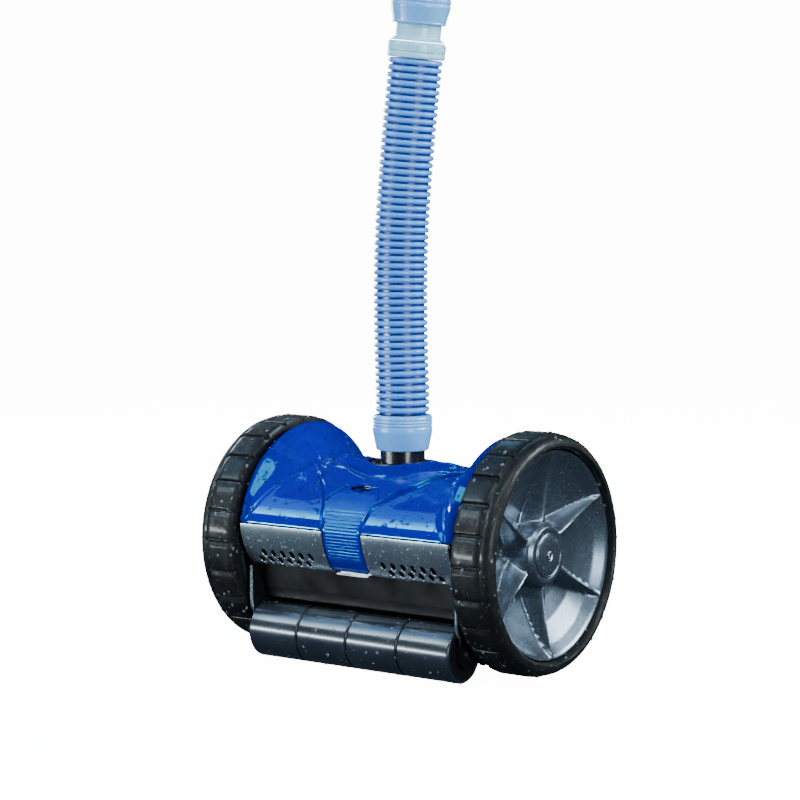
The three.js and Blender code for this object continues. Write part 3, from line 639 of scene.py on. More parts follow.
def along_curve(places, table):
    """Reads a table of (place, value) smoothly, as a curve through its points."""
    line, _ = spline(table, 240)
    return np.interp(places, line[:, 0], line[:, 1])


def edge_drop(distance, radius):
    """How far a rounded edge lies below its surface, at a distance from the edge."""
    inside = np.clip(radius - distance, 0, radius)
    return radius - np.sqrt(radius ** 2 - inside ** 2)


def flare_lift(x, y, z):
    """How far the rising flares move points of the nose line out from the axle."""
    angle = np.degrees(np.arctan2(z - AXLE_Z, np.abs(y)))
    start = along_curve(angle, VALLEY_X)
    last = BODY_HALF - FLARE_RIM
    share = np.clip((np.abs(x) - start) / (last - start), 0, 1)
    radius = np.hypot(y, z - AXLE_Z)
    front = (y < 0) * smoothstep(angle, 9, 15) * (1 - smoothstep(angle, 48, 76))
    dip = front * VALLEY_DIP * share * (1 - share) ** 1.5 / 0.186
    return lerp(radius, FLARE_R, share ** 1.2) - radius - dip


def lip_relief(x, up):
    """The saddle-shaped lip in front of the swivel tube."""
    across = np.abs(x)
    foot = along_curve(across, LIP_FOOT)
    ridge = up_at_depth(along_curve(across, LIP_RIDGE_Y))
    rise = np.maximum(along_curve(across, LIP_RISE), 0)
    dip = np.maximum(along_curve(across, LIP_DIP), 0)
    t = np.clip((up - foot) / (ridge - foot), 0, 1)
    front = rise * t ** 3.2 - dip * np.sin(math.pi * t ** 0.9)
    behind = rise * (1 - smoothstep(up - ridge, 2, 42))
    sunk = smoothstep(across, 36, 62) * smoothstep(up - ridge, 1, 16)
    sunk *= (1 - smoothstep(up, 140, 185)) * (1 - smoothstep(across, 70, 90))
    behind -= CROWN_SINK * sunk
    swell = 0.3 * rise * smoothstep(up, 40, 88) * (1 - t) * smoothstep(across, 12, 40)
    return np.where(up < ridge, front + swell, behind)


def cover_relief(x, up):
    """Height of the cover's own details above the plain form."""
    across = np.abs(x)
    edge = np.interp(up, CREASE_LINE[:, 1], CREASE_LINE[:, 0])
    gap = (edge - across) * np.interp(up, [0, 14, 30, 60, 96], [1, 0.98, 0.85, 0.78, 0.72])
    fade = smoothstep(up, -2, 14) * (1 - smoothstep(up, 82, 100))
    bead = 1.7 * np.exp(-((gap - 1.2) / 1.3) ** 2) - 1.3 * np.exp(-((gap + 1.7) / 1.1) ** 2)
    bonnet = BONNET_RISE * smoothstep(gap, -2.0, 0.4)
    side_hollow = -1.6 * smoothstep(-gap, 1, 18) * smoothstep(up, 10, 50)
    side_hollow *= 1 - smoothstep(across, 74, 92)
    detail = fade * (bonnet + bead + side_hollow) + lip_relief(x, up)
    top = up - LATCH_TOP
    beside = across - slot_half(np.minimum(up, LATCH_TOP))
    to_slot = np.where(top < 0, beside, np.hypot(np.maximum(across - SLOT_HALF[-1], 0), top))
    detail -= edge_drop(to_slot, 0.6)
    detail -= edge_drop(np.maximum(up, 0) - 0.3, 0.4)
    detail -= edge_drop(BODY_HALF - across, 2.4)
    return detail


def raised(x, y, z, lift):
    """Points moved straight out from the axle line."""
    radius = np.hypot(y, z - AXLE_Z)
    grown = (radius + lift) / radius
    return np.column_stack([x, y * grown, AXLE_Z + (z - AXLE_Z) * grown])


def cover_points(x, up):
    y, z = nose_at(up)
    return raised(x, y, z, flare_lift(x, y, z) + cover_relief(x, up))


def hole_rim(x, side):
    """How far up the finger hole's rim lies at X: side is 1 for its top, -1 for its foot."""
    cx, cv, rx, rv = FINGER_HOLE
    return cv + side * rv * np.sqrt(np.clip(1 - ((x - cx) / rx) ** 2, 0, 1))


def snap_out(x, v, hole):
    """Moves grid points inside an oval hole onto its edge; says which ones were inside."""
    cx, cv, rx, rv = hole
    share = np.hypot((x - cx) / rx, (v - cv) / rv)
    inside = share < 1
    grow = np.where(inside, 1 / np.maximum(share, 1e-6), 1)
    return cx + (x - cx) * grow, cv + (v - cv) * grow, inside


def compact(points, faces):
    """Drops the points that no face uses."""
    used = sorted({i for face in faces for i in face})
    number = {old: new for new, old in enumerate(used)}
    return np.asarray(points)[used], [tuple(number[i] for i in face) for face in faces]


def open_cells(rows, columns, closed_points):
    """Cells whose corners aren't all inside a hole."""
    hole = closed_points.reshape(rows, columns)
    all_in = hole[:-1, :-1] & hole[:-1, 1:] & hole[1:, :-1] & hole[1:, 1:]
    return ~all_in


def graded(low, high, first, last):
    """Steps from low to high that grow from one size to another."""
    count = int(round(2 * (high - low) / (first + last)))
    sizes = np.linspace(first, last, count)
    return low + (high - low) * np.r_[0, np.cumsum(sizes)] / sizes.sum()


def top_cover():
    lowest = 0.4
    front = np.r_[lowest, lowest + 0.25, graded(lowest + 0.6, LATCH_TOP, 0.65, 0.65)]
    upper = graded(LATCH_TOP, 112, 0.6, 0.8)[1:]
    rear = graded(112, COVER_END - 0.4, 1.2, 3.0)[1:]
    ups = np.r_[front, upper, rear]
    inner = np.linspace(-1, 1, 45)
    outer = graded(0, 1, 0.0055, 0.0095)[1:]
    outer = np.r_[outer[:-1], 0.985, 0.993, 1.0]
    columns = 2 * len(outer) + len(inner)
    x = np.empty((len(ups), columns))
    for row, up in enumerate(ups):
        half = slot_half(min(up, LATCH_TOP))
        side = half + (BODY_HALF - half) * outer
        x[row] = np.r_[-side[::-1], half * inner, side]
    v = np.repeat(ups, columns)
    x = x.ravel()
    reach = 10.0
    rim = np.maximum(hole_rim(x, 1), LATCH_TOP)
    above = (v > LATCH_TOP - 1e-6) & (v < LATCH_TOP + reach)
    v = np.where(above, rim + (v - LATCH_TOP) * (LATCH_TOP + reach - rim) / reach, v)
    in_slot = np.zeros((len(ups) - 1, columns - 1), bool)
    in_slot[ups[1:] <= LATCH_TOP + 0.01, len(outer):len(outer) + len(inner) - 1] = True
    depth = nose_at(v)[0]
    high = v > LATCH_TOP
    plan_x, plan_y, in_collar = snap_out(x, depth, (0, COLLAR_Y, COLLAR_HOLE, COLLAR_HOLE))
    in_collar &= high
    x = np.where(in_collar, plan_x, x)
    v = np.where(in_collar, up_at_depth(plan_y), v)
    keep = open_cells(len(ups), columns, in_collar) & ~in_slot
    faces = grid_faces(len(ups), columns, keep=keep)
    points, faces = compact(cover_points(x, v), faces)
    piece = add_mesh("blue_top_cover", points, faces, BLUE, "cover", "cover_blue", ["top_cover"], 38)
    return solidify(piece, COVER_WALL)


def latch():
    """The ribbed latch, just under the cover's surface, with a scoop for a fingertip."""
    top = LATCH_TOP - 0.2
    ups = np.linspace(LATCH_LOW, top, 165)
    across = np.sin(np.linspace(-1, 1, 77) * math.pi / 2 * 0.86) / math.sin(math.pi / 2 * 0.86)
    rows, columns = len(ups), len(across)
    foot_round = 5.0
    to_foot = np.clip(foot_round - (ups - LATCH_LOW), 0, foot_round)
    half = np.array([slot_half(up) for up in ups]) - 0.45
    half = half - foot_round + np.sqrt(foot_round ** 2 - to_foot ** 2)
    x = (half[:, None] * across[None, :]).ravel()
    v = np.repeat(ups, columns)
    room = np.repeat(half, columns) - np.abs(x)
    reach = 12.0
    rim = np.where(np.abs(x - FINGER_HOLE[0]) < FINGER_HOLE[2], hole_rim(x, -1), top)
    v = np.where(v > top - reach, top - reach + (v - top + reach) * (rim - top + reach) / reach, v)
    rib_low, rib_high, ribs = LATCH_LOW + 11.5, LATCH_LOW + 57, 16
    phase = (v - rib_low) / (rib_high - rib_low) * ribs
    rib_zone = smoothstep(v, rib_low - 0.3, rib_low + 0.3) * (1 - smoothstep(v, rib_high - 0.3, rib_high))
    rib = 0.6 * np.clip(np.cos(2 * math.pi * (phase - 0.5)) * 0.8 + 0.45, 0, 1)
    height = rib * rib_zone * smoothstep(room, 1.8, 2.8)
    dot_zone = smoothstep(v, rib_high + 0.4, rib_high + 1) * (1 - smoothstep(v, top - 8.5, top - 7.5))
    dots = np.cos(math.pi * x / 1.25) * np.cos(math.pi * (v - rib_high) / 1.25)
    height += 0.4 * np.clip(dots, 0, 1) * dot_zone * smoothstep(room, 1.8, 2.8)
    height -= edge_drop(room, 0.7) + edge_drop(rim - v, 0.35) + edge_drop(v - LATCH_LOW, 1.0) + 0.3
    height += (BONNET_RISE - 0.2) * smoothstep(v, 0, 30)
    points = raised(x, *nose_at(v), height)
    faces = grid_faces(rows, columns)
    piece = add_mesh("ribbed_latch", points, faces, BLUE, "latch", "cover_blue", ["latch"], 50)
    return solidify(piece, COVER_WALL)


def finger_well():
    """Oval bowl under the finger hole, hung clear of the latch and the cover's skin."""
    cx, cv, rx, rv = FINGER_HOLE
    segments = 40
    rings = [(1.12, 3.9), (1.0, 4.8), (0.85, 6.0), (0.6, 7.0), (0.3, 7.5)]
    angles = np.arange(segments) * 2 * math.pi / segments
    points = []
    for share, depth in rings:
        x = cx + share * rx * np.cos(angles)
        points += list(raised(x, *nose_at(cv + share * rv * np.sin(angles)), -depth))
    faces = grid_faces(len(rings), segments, wrap_columns=True, flip=True)
    faces.append(tuple(range(len(points) - segments, len(points))))
    piece = add_mesh("finger_well", points, faces, BLUE, "cover", sharp=60)
    return solidify(piece, WELL_WALL)


PANEL_INNER = cad_box("vent_panel_right")[0][0]
PANEL_FOOT = up_at_height(cad_box("vent_panel_right")[0][2])
DRAIN_ROWS = [(37.5, up_at_height(92)), (43.0, up_at_height(85.6))]
DRAIN_PITCH = 10.0
DRAIN_COUNT = 6
DRAIN_HALF = (3.0, 4.2)


def vent_panel(side, name):
    """One metallic panel beside the latch, with two rows of oval drain holes."""
    ups = np.r_[graded(PANEL_FOOT, -22, 0.62, 0.62), graded(-22, -1.4, 0.62, 2.2)[1:], -0.75, -0.3]
    xs = np.r_[PANEL_INNER, PANEL_INNER + 0.4, graded(PANEL_INNER + 1, 104, 0.62, 0.62),
               105, 106.4, BODY_HALF - 0.5, BODY_HALF]
    x = np.tile(xs, len(ups))
    v = np.repeat(ups, len(xs))
    keep = np.ones((len(ups) - 1, len(xs) - 1), bool)
    for start, up in DRAIN_ROWS:
        for i in range(DRAIN_COUNT):
            x, v, inside = snap_out(x, v, (start + i * DRAIN_PITCH, up, *DRAIN_HALF))
            keep &= open_cells(len(ups), len(xs), inside)
    drop = edge_drop(x - PANEL_INNER, 0.9) + edge_drop(BODY_HALF - x, 0.9)
    drop += edge_drop(v - PANEL_FOOT, 0.8) + edge_drop(-0.3 - v, 0.7)
    points = raised(side * x, *nose_at(v), -drop)
    faces = grid_faces(len(ups), len(xs), keep=keep, flip=side < 0)
    points, faces = compact(points, faces)
    piece = add_mesh(name, points, faces, GREY, "chassis", "panel_grey",
                     ["vent_panel_right" if side > 0 else "vent_panel_left"], 45)
    return solidify(piece, PANEL_WALL)


CHEEK_LINE = [(-80.6, 79), (-80.4, 60), (-80.1, 49), (-79, 43.5), (-76.8, 39.8), (-72, 36)]


def cheek_highlight_strip(side, name):
    """Thin light grey strip down the front edge of one end wall, under the panel: a painted highlight
    along that edge.
    """
    line, _ = spline(CHEEK_LINE, 24)
    tangent = np.gradient(line, axis=0)
    tangent /= np.linalg.norm(tangent, axis=1)[:, None]
    outward = np.column_stack([tangent[:, 1], -tangent[:, 0]])
    section = [(104.9, -0.9), (104.9, 0.2), (105.3, 0.6), (107.2, 0.6), (BODY_HALF, 0.1),
               (BODY_HALF, -0.9)]
    points = []
    for place, out in zip(line, outward):
        for x, lift in section:
            y, z = place + out * lift
            points.append((side * x, y, z))
    count = len(section)
    faces = grid_faces(len(line), count, wrap_columns=True, flip=side < 0)
    faces.append(tuple(range(count)) if side < 0 else tuple(range(count))[::-1])
    last = (len(line) - 1) * count
    faces.append(tuple(last + i for i in range(count))[::1 if side > 0 else -1])
    # The strip's grey paints the highlight along the end wall's front edge.
    return add_mesh(name, points, faces, GREY, "chassis", "panel_grey", sharp=50)


def tube_collar():
    """Black ring round the foot of the swivel tube; it sits further back than the tube."""
    segments = 72
    rings = [
        (19.6, 151, 0), (27.5, 151, 0), (27.5, 153.4, 0), (25.8, 154.4, 0.3), (26.4, 160, 1),
        (29.4, 163, 1), (29.4, 166.2, 1), (28.6, 167.4, 1), (26.5, 167.6, 1), (25, 166.6, 1),
        (24.6, 162.5, 1), (20.6, 161.6, 0.2), (19.9, 161, 0), (19.6, 160, 0)]
    points = []
    for radius, z, back in rings:
        for i in range(segments):
            angle = 2 * math.pi * i / segments
            y = TUBE_Y + back * (COLLAR_Y - TUBE_Y) + radius * math.sin(angle)
            points.append((radius * math.cos(angle), y, z))
    faces = grid_faces(len(rings), segments, wrap_rows=True, wrap_columns=True)
    return add_mesh("black_tube_collar", points, faces, HOUSING, "cover", "housing_black",
                    ["tube_collar"], 50)


# ---- wheels ----
ARMS = 6
BOWL_R = [25, 30, 36, 45, 60, 75, 83.6, RIM_R]
BOWL_X = [122.5, 121.2, 121.2, 123.8, 129.4, 137.6, 144.8, RIM_X]
CREST_R = [25, 40, 52, 70, 84.5]
CREST_X = [139.4, 140.2, 141, 143, 145.1]
ARM_R = [25, 30, 36, 45, 58, 72, 84.5]
ARM_HALF = [16.5, 13.6, 11.2, 9.0, 6.6, 3.9, 1.2]


def smooth_max(a, b, reach):
    share = np.clip(0.5 + 0.5 * (a - b) / reach, 0, 1)
    return lerp(b, a, share) + reach * share * (1 - share)


def star_face(radius, angle):
    """X of the wheel's outer face: a conical bowl with six ridged arms."""
    step = 2 * math.pi / ARMS
    from_arm = (angle - math.pi / 2 + step / 2) % step - step / 2
    bowl = np.interp(radius, BOWL_R, BOWL_X)
    half = np.interp(radius, ARM_R, ARM_HALF)
    crest = np.interp(radius, CREST_R, CREST_X)
    sideways = np.abs(radius * np.sin(from_arm)) / half
    ridge = crest + 0.6 - (crest - bowl + 0.6) * np.sqrt(sideways ** 2 + 0.02)
    ridge -= 2.5 * smoothstep(sideways, 0.75, 1.2)
    return smooth_max(ridge, bowl, 2.2)


def wheel_disc(side, tag):
    segments = ARMS * 48
    angles = np.arange(segments) * 2 * math.pi / segments
    hub = rounded([
        (HUB_R - 7.1, CAP_IN - 0.8), (HUB_R - 7.1, CAP_X - 1.4), (HUB_R - 3.2, CAP_X - 1.4),
        (HUB_R, CAP_X - 4.6), (HUB_R + 0.6, CAP_X - 6)], 0.7, 3)
    star = graded(HUB_R + 0.7, RIM_R - 1.4, 1.0, 1.35)
    rim = [(RIM_R - 0.9, RIM_X - 0.2), (RIM_R - 0.5, RIM_X - 0.2), (RIM_R - 0.2, RIM_X - 0.9)]
    back = [(RIM_R - 0.2, DISC_IN), (82.5, DISC_IN), (79, 137), (68, 131.2), (68, 119.8),
            (64.5, 119.8), (64.5, 129.2), (60, 127), (28, 119.6), (15.5, 119.6), (14, DISC_IN),
            (10.2, DISC_IN), (10.2, CAP_IN - 0.8)]
    rows = list(hub)
    for radius in star:
        blend = smoothstep(radius, HUB_R + 0.2, HUB_R + 2.6)
        rows.append((radius, lerp(hub[-1][1], star_face(radius, angles), blend)))
    rows += rim + back
    points = []
    for radius, x in rows:
        across = side * x + np.zeros(segments)
        points += zip(across, radius * np.cos(angles), AXLE_Z + radius * np.sin(angles))
    faces = grid_faces(len(rows), segments, wrap_rows=True, wrap_columns=True, flip=side < 0)
    return add_mesh(f"star_wheel_{tag}", points, faces, SLATE, f"wheel_{tag}", "wheel_slate",
                    [f"wheel_disc_{tag}"], 42)


def hub_cap(side, tag):
    profile = rounded([
        (3.9, CAP_IN), (CAP_R, CAP_IN), (CAP_R, CAP_X - 1.3), (CAP_R - 1.2, CAP_X - 0.5),
        (CAP_R - 1.6, CAP_X - 0.9), (CAP_R - 2.0, CAP_X - 0.4), (CAP_R - 6, CAP_X + 0.3),
        (5.2, CAP_X + 0.5), (3.9, CAP_X - 0.1), (3.9, CAP_IN)], 0.4, 2)[:-1]
    return add_mesh(
        f"domed_hub_cap_{tag}", *turned(profile, 64, along_x(side, 0, AXLE_Z)), SLATE,
        f"wheel_{tag}", "wheel_slate", [f"hub_cap_{tag}"], 40)


def hub_screw(side, tag):
    """Bright rolled eyelet with a dark hexagonal socket in its middle."""
    rim = rounded([
        (2.0, CAP_X - 3), (3.6, CAP_X - 3), (3.6, CAP_X + 0.9), (2.9, CAP_X + 1.3),
        (2.0, CAP_X + 0.7), (2.0, CAP_X - 3)], 0.4, 3)[:-1]
    add_mesh(
        f"hub_eyelet_{tag}", *turned(rim, 40, along_x(side, 0, AXLE_Z)), STEEL,
        f"wheel_{tag}", "steel", [f"hub_screw_{tag}"], 50)
    core = [(0, CAP_X - 3), (1.95, CAP_X - 3), (1.95, CAP_X - 0.6), (0.9, CAP_X - 0.8),
            (0, CAP_X - 1.1)]
    add_mesh(f"hub_screw_core_{tag}", *turned(core, 6, along_x(side, 0, AXLE_Z)), HOUSING,
             f"wheel_{tag}", sharp=30)


TREAD_BLOCKS = 24
GROOVE_STEPS = [  # millimetres round from a groove's middle, and the depth there
    (-9.0, 0.0), (-5.0, 0.0), (-2.6, 0.0), (-1.7, 0.25), (-1.25, 1.3), (-0.9, 3.0), (0.5, 3.0),
    (0.9, 1.9), (1.5, 1.25), (3.4, 0.85), (4.6, 0.1), (6.4, 0.0)]
INNER_TREAD = [  # X from the tyre's inner edge, radius, and how much of a groove's depth shows
    (0, 86.5, 0), (0, 94.0, 0), (0.5, 97.4, 0.5), (1.5, 99.2, 0.9), (3.2, 100.0, 1), (9, 100.0, 1),
    (16, 100.0, 1), (22, 100.0, 1), (25.4, 99.9, 1), (26.6, 99.4, 0.9), (27.4, 98.5, 0.55),
    (28.2, 98.0, 0.25), (29.4, 98.1, 0.05), (31.4, 98.1, 0), (33.6, 97.3, 0), (35.6, 95.8, 0),
    (37.2, 93.4, 0)]
TREAD_ROWS = [(TYRE_IN + x, radius, share) for x, radius, share in INNER_TREAD] + [
    (TYRE_OUT, 90.8, 0), (TYRE_OUT, 89.4, 0), (TYRE_OUT - 0.9, 88.2, 0), (TYRE_OUT - 3.5, 87.2, 0),
    (RIM_X - 1.6, 86.5, 0)]


def tyre(side, tag):
    """Rubber tyre: tread blocks with a chamfered edge each, and a smooth outer shoulder."""
    pitch = 2 * math.pi / TREAD_BLOCKS
    angles, depths = [], []
    for block in range(TREAD_BLOCKS):
        for along, depth in GROOVE_STEPS:
            angles.append(block * pitch + along / WHEEL_R)
            depths.append(depth)
    angles, depths = np.array(angles), np.array(depths)
    points = []
    for x, radius, share in TREAD_ROWS:
        reach = radius - depths * share
        points += zip(np.full(len(angles), side * x), reach * np.cos(angles),
                      AXLE_Z + reach * np.sin(angles))
    faces = grid_faces(len(TREAD_ROWS), len(angles), wrap_rows=True, wrap_columns=True,
                       flip=side < 0)
    return add_mesh(f"block_tread_tyre_{tag}", points, faces, TYRE, f"wheel_{tag}", "tyre",
                    [f"tyre_{tag}"], 33)


# ---- rollers ----
ROLLERS = 4


def roller(index):
    """A satin sleeve on a black core that stands a little in from the sleeve's ends; on the two outer
    rollers the core spreads into a black disc over the outer end, painted shade on that end face.
    """
    low, high = cad_box(f"roller_sleeve_{index}")
    a, b = low[0] + 0.1, high[0] - 0.1
    sleeve = rounded([
        (17.2, a), (22.6, a), (ROLLER_R, a + 1.1), (ROLLER_R, (a + b) / 2), (ROLLER_R, b - 1.1),
        (22.6, b), (17.2, b)], 0.5, 3)
    piece = add_mesh(
        f"roller_{index}_sleeve", *turned(sleeve, 72, along_x(1, ROLLER_Y, ROLLER_Z)), ROLLER,
        f"roller_{index}", "roller_grey", [f"roller_sleeve_{index}"], 40)
    first, last = a + 0.9, b - 0.9
    core = [(5.5, first), (17, first), (17, last), (5.5, last)]
    # On the outer rollers a black disc covers the sleeve's outer end: painted shade on that end face.
    if index in (1, ROLLERS):
        core = [(5.5, first), (17, first), (17, last), (20.6, last), (20.6, b + 0.2), (5.5, b + 0.2)]
    if index == 1:
        core = [(radius, a + b - x) for radius, x in reversed(core)]
    add_mesh(f"roller_{index}_core", *turned(core, 40, along_x(1, ROLLER_Y, ROLLER_Z)), HOUSING,
             f"roller_{index}", "housing_black", sharp=40)
    return piece


# ---- carried-over CAD nodes ----
def finish_cad_nodes():
    """Gives every CAD node that still shows its material and softened edges."""
    by_slot = {
        "housing_black": HOUSING, "gear_white": GEAR, "seal_rubber": SEAL, "steel": STEEL,
        "cover_blue": BLUE, "panel_grey": GREY, "tube_black": TUBE_BLACK, "tyre": TYRE,
        "wheel_slate": SLATE, "roller_grey": ROLLER, "hose_blue": HOSE_BLUE,
        "hose_pale": HOSE_PALE,
    }
    slots = {part["node"]: part["material_slot"] for part in frame["record"]["subparts"]}
    for name, node in frame["nodes"].items():
        node.data.materials.clear()
        node.data.materials.append(by_slot[slots[name]])
        if not node.hide_render:
            bevel(node, EDGE_WIDTH)


# ---- water beads ----
BEAD_RINGS = {5: [(0.0, -0.12), (1.0, -0.12), (0.95, 0.2), (0.62, 0.5), (0.0, 0.64)],
              6: [(0.0, -0.1), (1.0, -0.1), (0.99, 0.12), (0.84, 0.38), (0.5, 0.56), (0.0, 0.64)]}
SMALLEST_BEAD = 0.34
FINE_BEAD = 0.9  # beads above this radius get the finer shape
SMALL_SHARE = 4.0  # the higher, the more of the beads are small
BEAD_CLEARANCE = 2.6  # from the sides of the latch's slot to the nearest bead on the cover
CLEAR_ABOVE_LATCH = 2 * FINGER_HOLE[3]
OUTWARD = 0.12  # least outward share of the normal, and metres out, of a wheel face with beads


def bead_shape(fine):
    """One water bead of radius 1 on the plane z = 0, sunk a little into it."""
    return turned(BEAD_RINGS[6 if fine else 5], 12 if fine else 7, lambda points: points)


def face_samples(piece, count, rng, facing):
    """Random points on a piece's own mesh, weighted by area, and the normals there."""
    mesh = piece.data
    faces = [p for p in mesh.polygons if facing is None or facing(p)]
    areas = np.array([p.area for p in faces])
    picks = rng.choice(len(faces), size=count, p=areas / areas.sum())
    found = []
    for pick in picks:
        corners = np.array([mesh.vertices[i].co for i in faces[pick].vertices])
        weights = rng.dirichlet(np.ones(len(corners)))
        found.append((weights @ corners / MM, np.array(faces[pick].normal)))
    return found


def swept_by_latch(place):
    """Whether a bead on the cover here would be in the way of the opening latch."""
    x, y, z = place
    up = up_at_height(z)
    beside = abs(x) < slot_half(min(up, LATCH_TOP)) + BEAD_CLEARANCE
    return y < 0 and beside and up < LATCH_TOP + CLEAR_ABOVE_LATCH


def water_beads(name, piece, body, count, seed, largest, facing):
    """Beads of water scattered over a piece: many small ones and a few large."""
    rng = np.random.default_rng(seed)
    shapes = {fine: bead_shape(fine) for fine in (False, True)}
    points, faces = [], []
    for place, normal in face_samples(piece, count, rng, facing):
        radius = SMALLEST_BEAD + (largest - SMALLEST_BEAD) * rng.random() ** SMALL_SHARE
        shape, shape_faces = shapes[bool(radius > FINE_BEAD)]
        side = np.cross(normal, (0.3, 0.2, 0.93))
        side /= max(np.linalg.norm(side), 1e-6)
        turn = np.column_stack([side, np.cross(normal, side), normal])
        stretch = np.array([1, 1 + 0.35 * rng.random(), 0.9])
        if body == "cover" and swept_by_latch(place):
            continue
        start = len(points)
        points.extend(place + (shape * stretch * radius) @ turn.T)
        faces.extend(tuple(start + i for i in face) for face in shape_faces)
    # Beads on every piece but the blue cover take the water with a painted glint.
    liquid = CLEAR_WATER if piece.data.materials[0] == BLUE else PAINTED_GLINT_WATER
    return add_mesh(name, points, faces, liquid, body, sharp=80)


def outer_faces(side):
    """Picks the faces of a wheel that look away from the body."""
    def looks_out(face):
        return face.normal.x * side > OUTWARD and face.center.x * side > OUTWARD
    return looks_out


def scatter_water(pieces):
    for number, (piece, body, count, largest, facing) in enumerate(pieces):
        water_beads(f"water_on_{piece.name}", piece, body, count, 100 + number, largest, facing)


# ---- stage and light ----
FLOOR_HALF = 9.0
BACKDROP_GLOW = 14.0  # of the floor and of the world behind it


def make_floor():
    mesh = bpy.data.meshes.new("floor")
    corners = [(-1, -1), (1, -1), (1, 1), (-1, 1)]
    mesh.from_pydata([(x * FLOOR_HALF, y * FLOOR_HALF, 0) for x, y in corners], [], [(0, 1, 2, 3)])
    floor = bpy.data.objects.new("floor", mesh)
    bpy.context.scene.collection.objects.link(floor)
    m = Nodes("floor")
    m.colour(m.noise(2, 2), [(0.3, (0.93, 0.93, 0.93)), (0.7, (0.96, 0.96, 0.96))])
    m.set(Roughness=0.9, Emission_Color=(1, 1, 1, 1), Emission_Strength=BACKDROP_GLOW)
    mesh.materials.append(m.material)
    floor.visible_glossy = False
    floor.visible_diffuse = False
    floor.visible_transmission = False


COOL = (0.84, 0.95, 1.0)
LIT_POINT = (0, 0, 0.12)  # every lamp points here
SOFTBOX_POWER = 24.0
SOFTBOX_GLOW = [
    (0.0, COOL), (0.2, (0.3, 0.44, 0.54)), (0.42, (0.03, 0.08, 0.16)), (1.0, (0.003, 0.008, 0.02))]


def big_softbox():
    """The main light: a large panel over the left front, brightest along its lower edge."""
    low = np.array([-1.12, -1.22, 1.06])
    high = np.array([-0.95, 0.2, 1.45])
    across = np.array([0.42, -0.05, 0.0])
    corners = [low - across, low + across, high + across, high - across]
    middle_point = sum(corners) / 4
    mesh = bpy.data.meshes.new("softbox")
    mesh.from_pydata([tuple(corner - middle_point) for corner in corners], [], [(0, 1, 2, 3)])
    panel = bpy.data.objects.new("softbox", mesh)
    panel.location = middle_point
    bpy.context.scene.collection.objects.link(panel)
    panel.visible_camera = False
    m = Nodes("softbox")
    m.colour(m.noise(2, 1), [(0.3, (0.8, 0.8, 0.8)), (0.7, (0.82, 0.82, 0.82))])
    along = m.add("ShaderNodeSeparateXYZ")
    m.link(m.place, along.inputs["Vector"])
    height = m.add("ShaderNodeMapRange")
    reach = (high - low)[1] / 2
    height.inputs["From Min"].default_value = -reach
    height.inputs["From Max"].default_value = reach
    m.link(along.outputs["Y"], height.inputs["Value"])
    glow = m.ramp(height.outputs["Result"], SOFTBOX_GLOW)
    m.link(glow, m.shader.inputs["Emission Color"])
    m.set(Emission_Strength=SOFTBOX_POWER)
    mesh.materials.append(m.material)


def softbox(name, at, width, height, power, colour=COOL):
    light = bpy.data.lights.new(name, "AREA")
    light.shape = "RECTANGLE"
    light.size = width
    light.size_y = height
    light.energy = power
    light.color = colour
    lamp = bpy.data.objects.new(name, light)
    lamp.location = at
    lamp.rotation_euler = (Vector(LIT_POINT) - Vector(at)).to_track_quat("-Z", "Y").to_euler()
    lamp.visible_camera = False
    bpy.context.scene.collection.objects.link(lamp)


def glow_node(tree, colour, strength):
    node = tree.nodes.new("ShaderNodeBackground")
    node.inputs["Color"].default_value = colour
    node.inputs["Strength"].default_value = strength
    return node


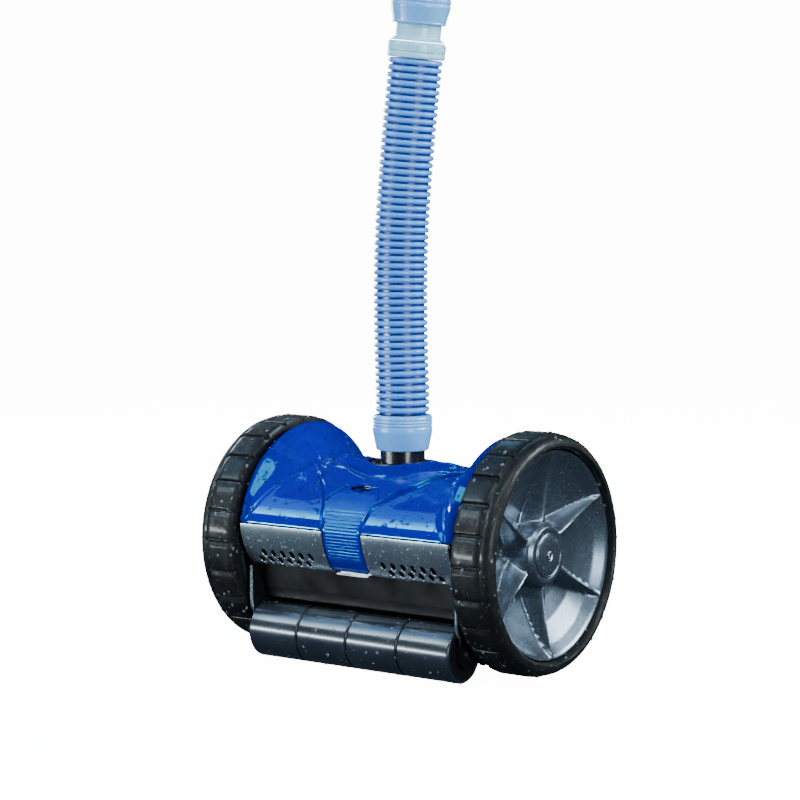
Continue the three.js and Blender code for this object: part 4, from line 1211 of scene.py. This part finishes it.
def make_light():
    world = bpy.data.worlds.new("studio")
    bpy.context.scene.world = world
    world.use_nodes = True
    tree = world.node_tree
    tree.nodes.clear()
    output = tree.nodes.new("ShaderNodeOutputWorld")
    mix = tree.nodes.new("ShaderNodeMixShader")
    path = tree.nodes.new("ShaderNodeLightPath")
    seen = glow_node(tree, (1, 1, 1, 1), BACKDROP_GLOW)
    fill = glow_node(tree, (0.45, 0.68, 1.0, 1), 0.07)
    tree.links.new(path.outputs["Is Camera Ray"], mix.inputs["Fac"])
    tree.links.new(fill.outputs["Background"], mix.inputs[1])
    tree.links.new(seen.outputs["Background"], mix.inputs[2])
    tree.links.new(mix.outputs["Shader"], output.inputs["Surface"])
    big_softbox()
    softbox("low_strip", (-1.35, -1.8, 0.16), 1.0, 0.1, 34)
    softbox("right", (1.5, 0.95, 1.0), 1.1, 0.5, 42)
    softbox("wheel_fill", (2.1, -0.9, 0.45), 1.0, 0.8, 30)
    softbox("top", (1.0, -0.62, 1.55), 1.9, 0.5, 23)
    softbox("rim", (-0.95, 1.3, 1.5), 0.9, 0.25, 4, (0.3, 0.68, 1.0))
    softbox("left_back", (-1.9, 0.85, 0.75), 0.5, 0.8, 26)
    softbox("glint_left", (-0.9, -1.9, 1.3), 0.1, 0.1, 5)
    softbox("glint_right", (1.7, -1.0, 1.6), 0.1, 0.1, 5)


# ---- the object ----
cover = top_cover()
ribbed_latch = latch()
finger_well()
panels = [vent_panel(1, "grey_vent_panel_right"), vent_panel(-1, "grey_vent_panel_left")]
cheek_highlight_strip(1, "cheek_highlight_strip_right")
cheek_highlight_strip(-1, "cheek_highlight_strip_left")
tube_collar()
wheels = []
for side, tag in ((1, "right"), (-1, "left")):
    wheels.append((wheel_disc(side, tag), tyre(side, tag), hub_cap(side, tag), f"wheel_{tag}", side))
    hub_screw(side, tag)
rollers = [roller(index) for index in range(1, ROLLERS + 1)]
finish_cad_nodes()

wet = [
    (cover, "cover", 2600, 1.9, None), (ribbed_latch, "latch", 90, 0.9, None),
    (panels[0], "chassis", 130, 1.3, None), (panels[1], "chassis", 130, 1.3, None),
]
for disc, rubber, cap, body, side in wheels:
    wet.append((disc, body, 330, 1.5, outer_faces(side)))
    wet.append((rubber, body, 700, 1.5, None))
    wet.append((cap, body, 20, 0.8, outer_faces(side)))
wet += [(piece, f"roller_{number}", 110, 1.5, None) for number, piece in enumerate(rollers, 1)]
wet += [(hose_pieces[0], "swivel", 60, 0.9, None), (hose, "swivel", 260, 0.8, None)]
scatter_water(wet)

make_floor()
make_light()
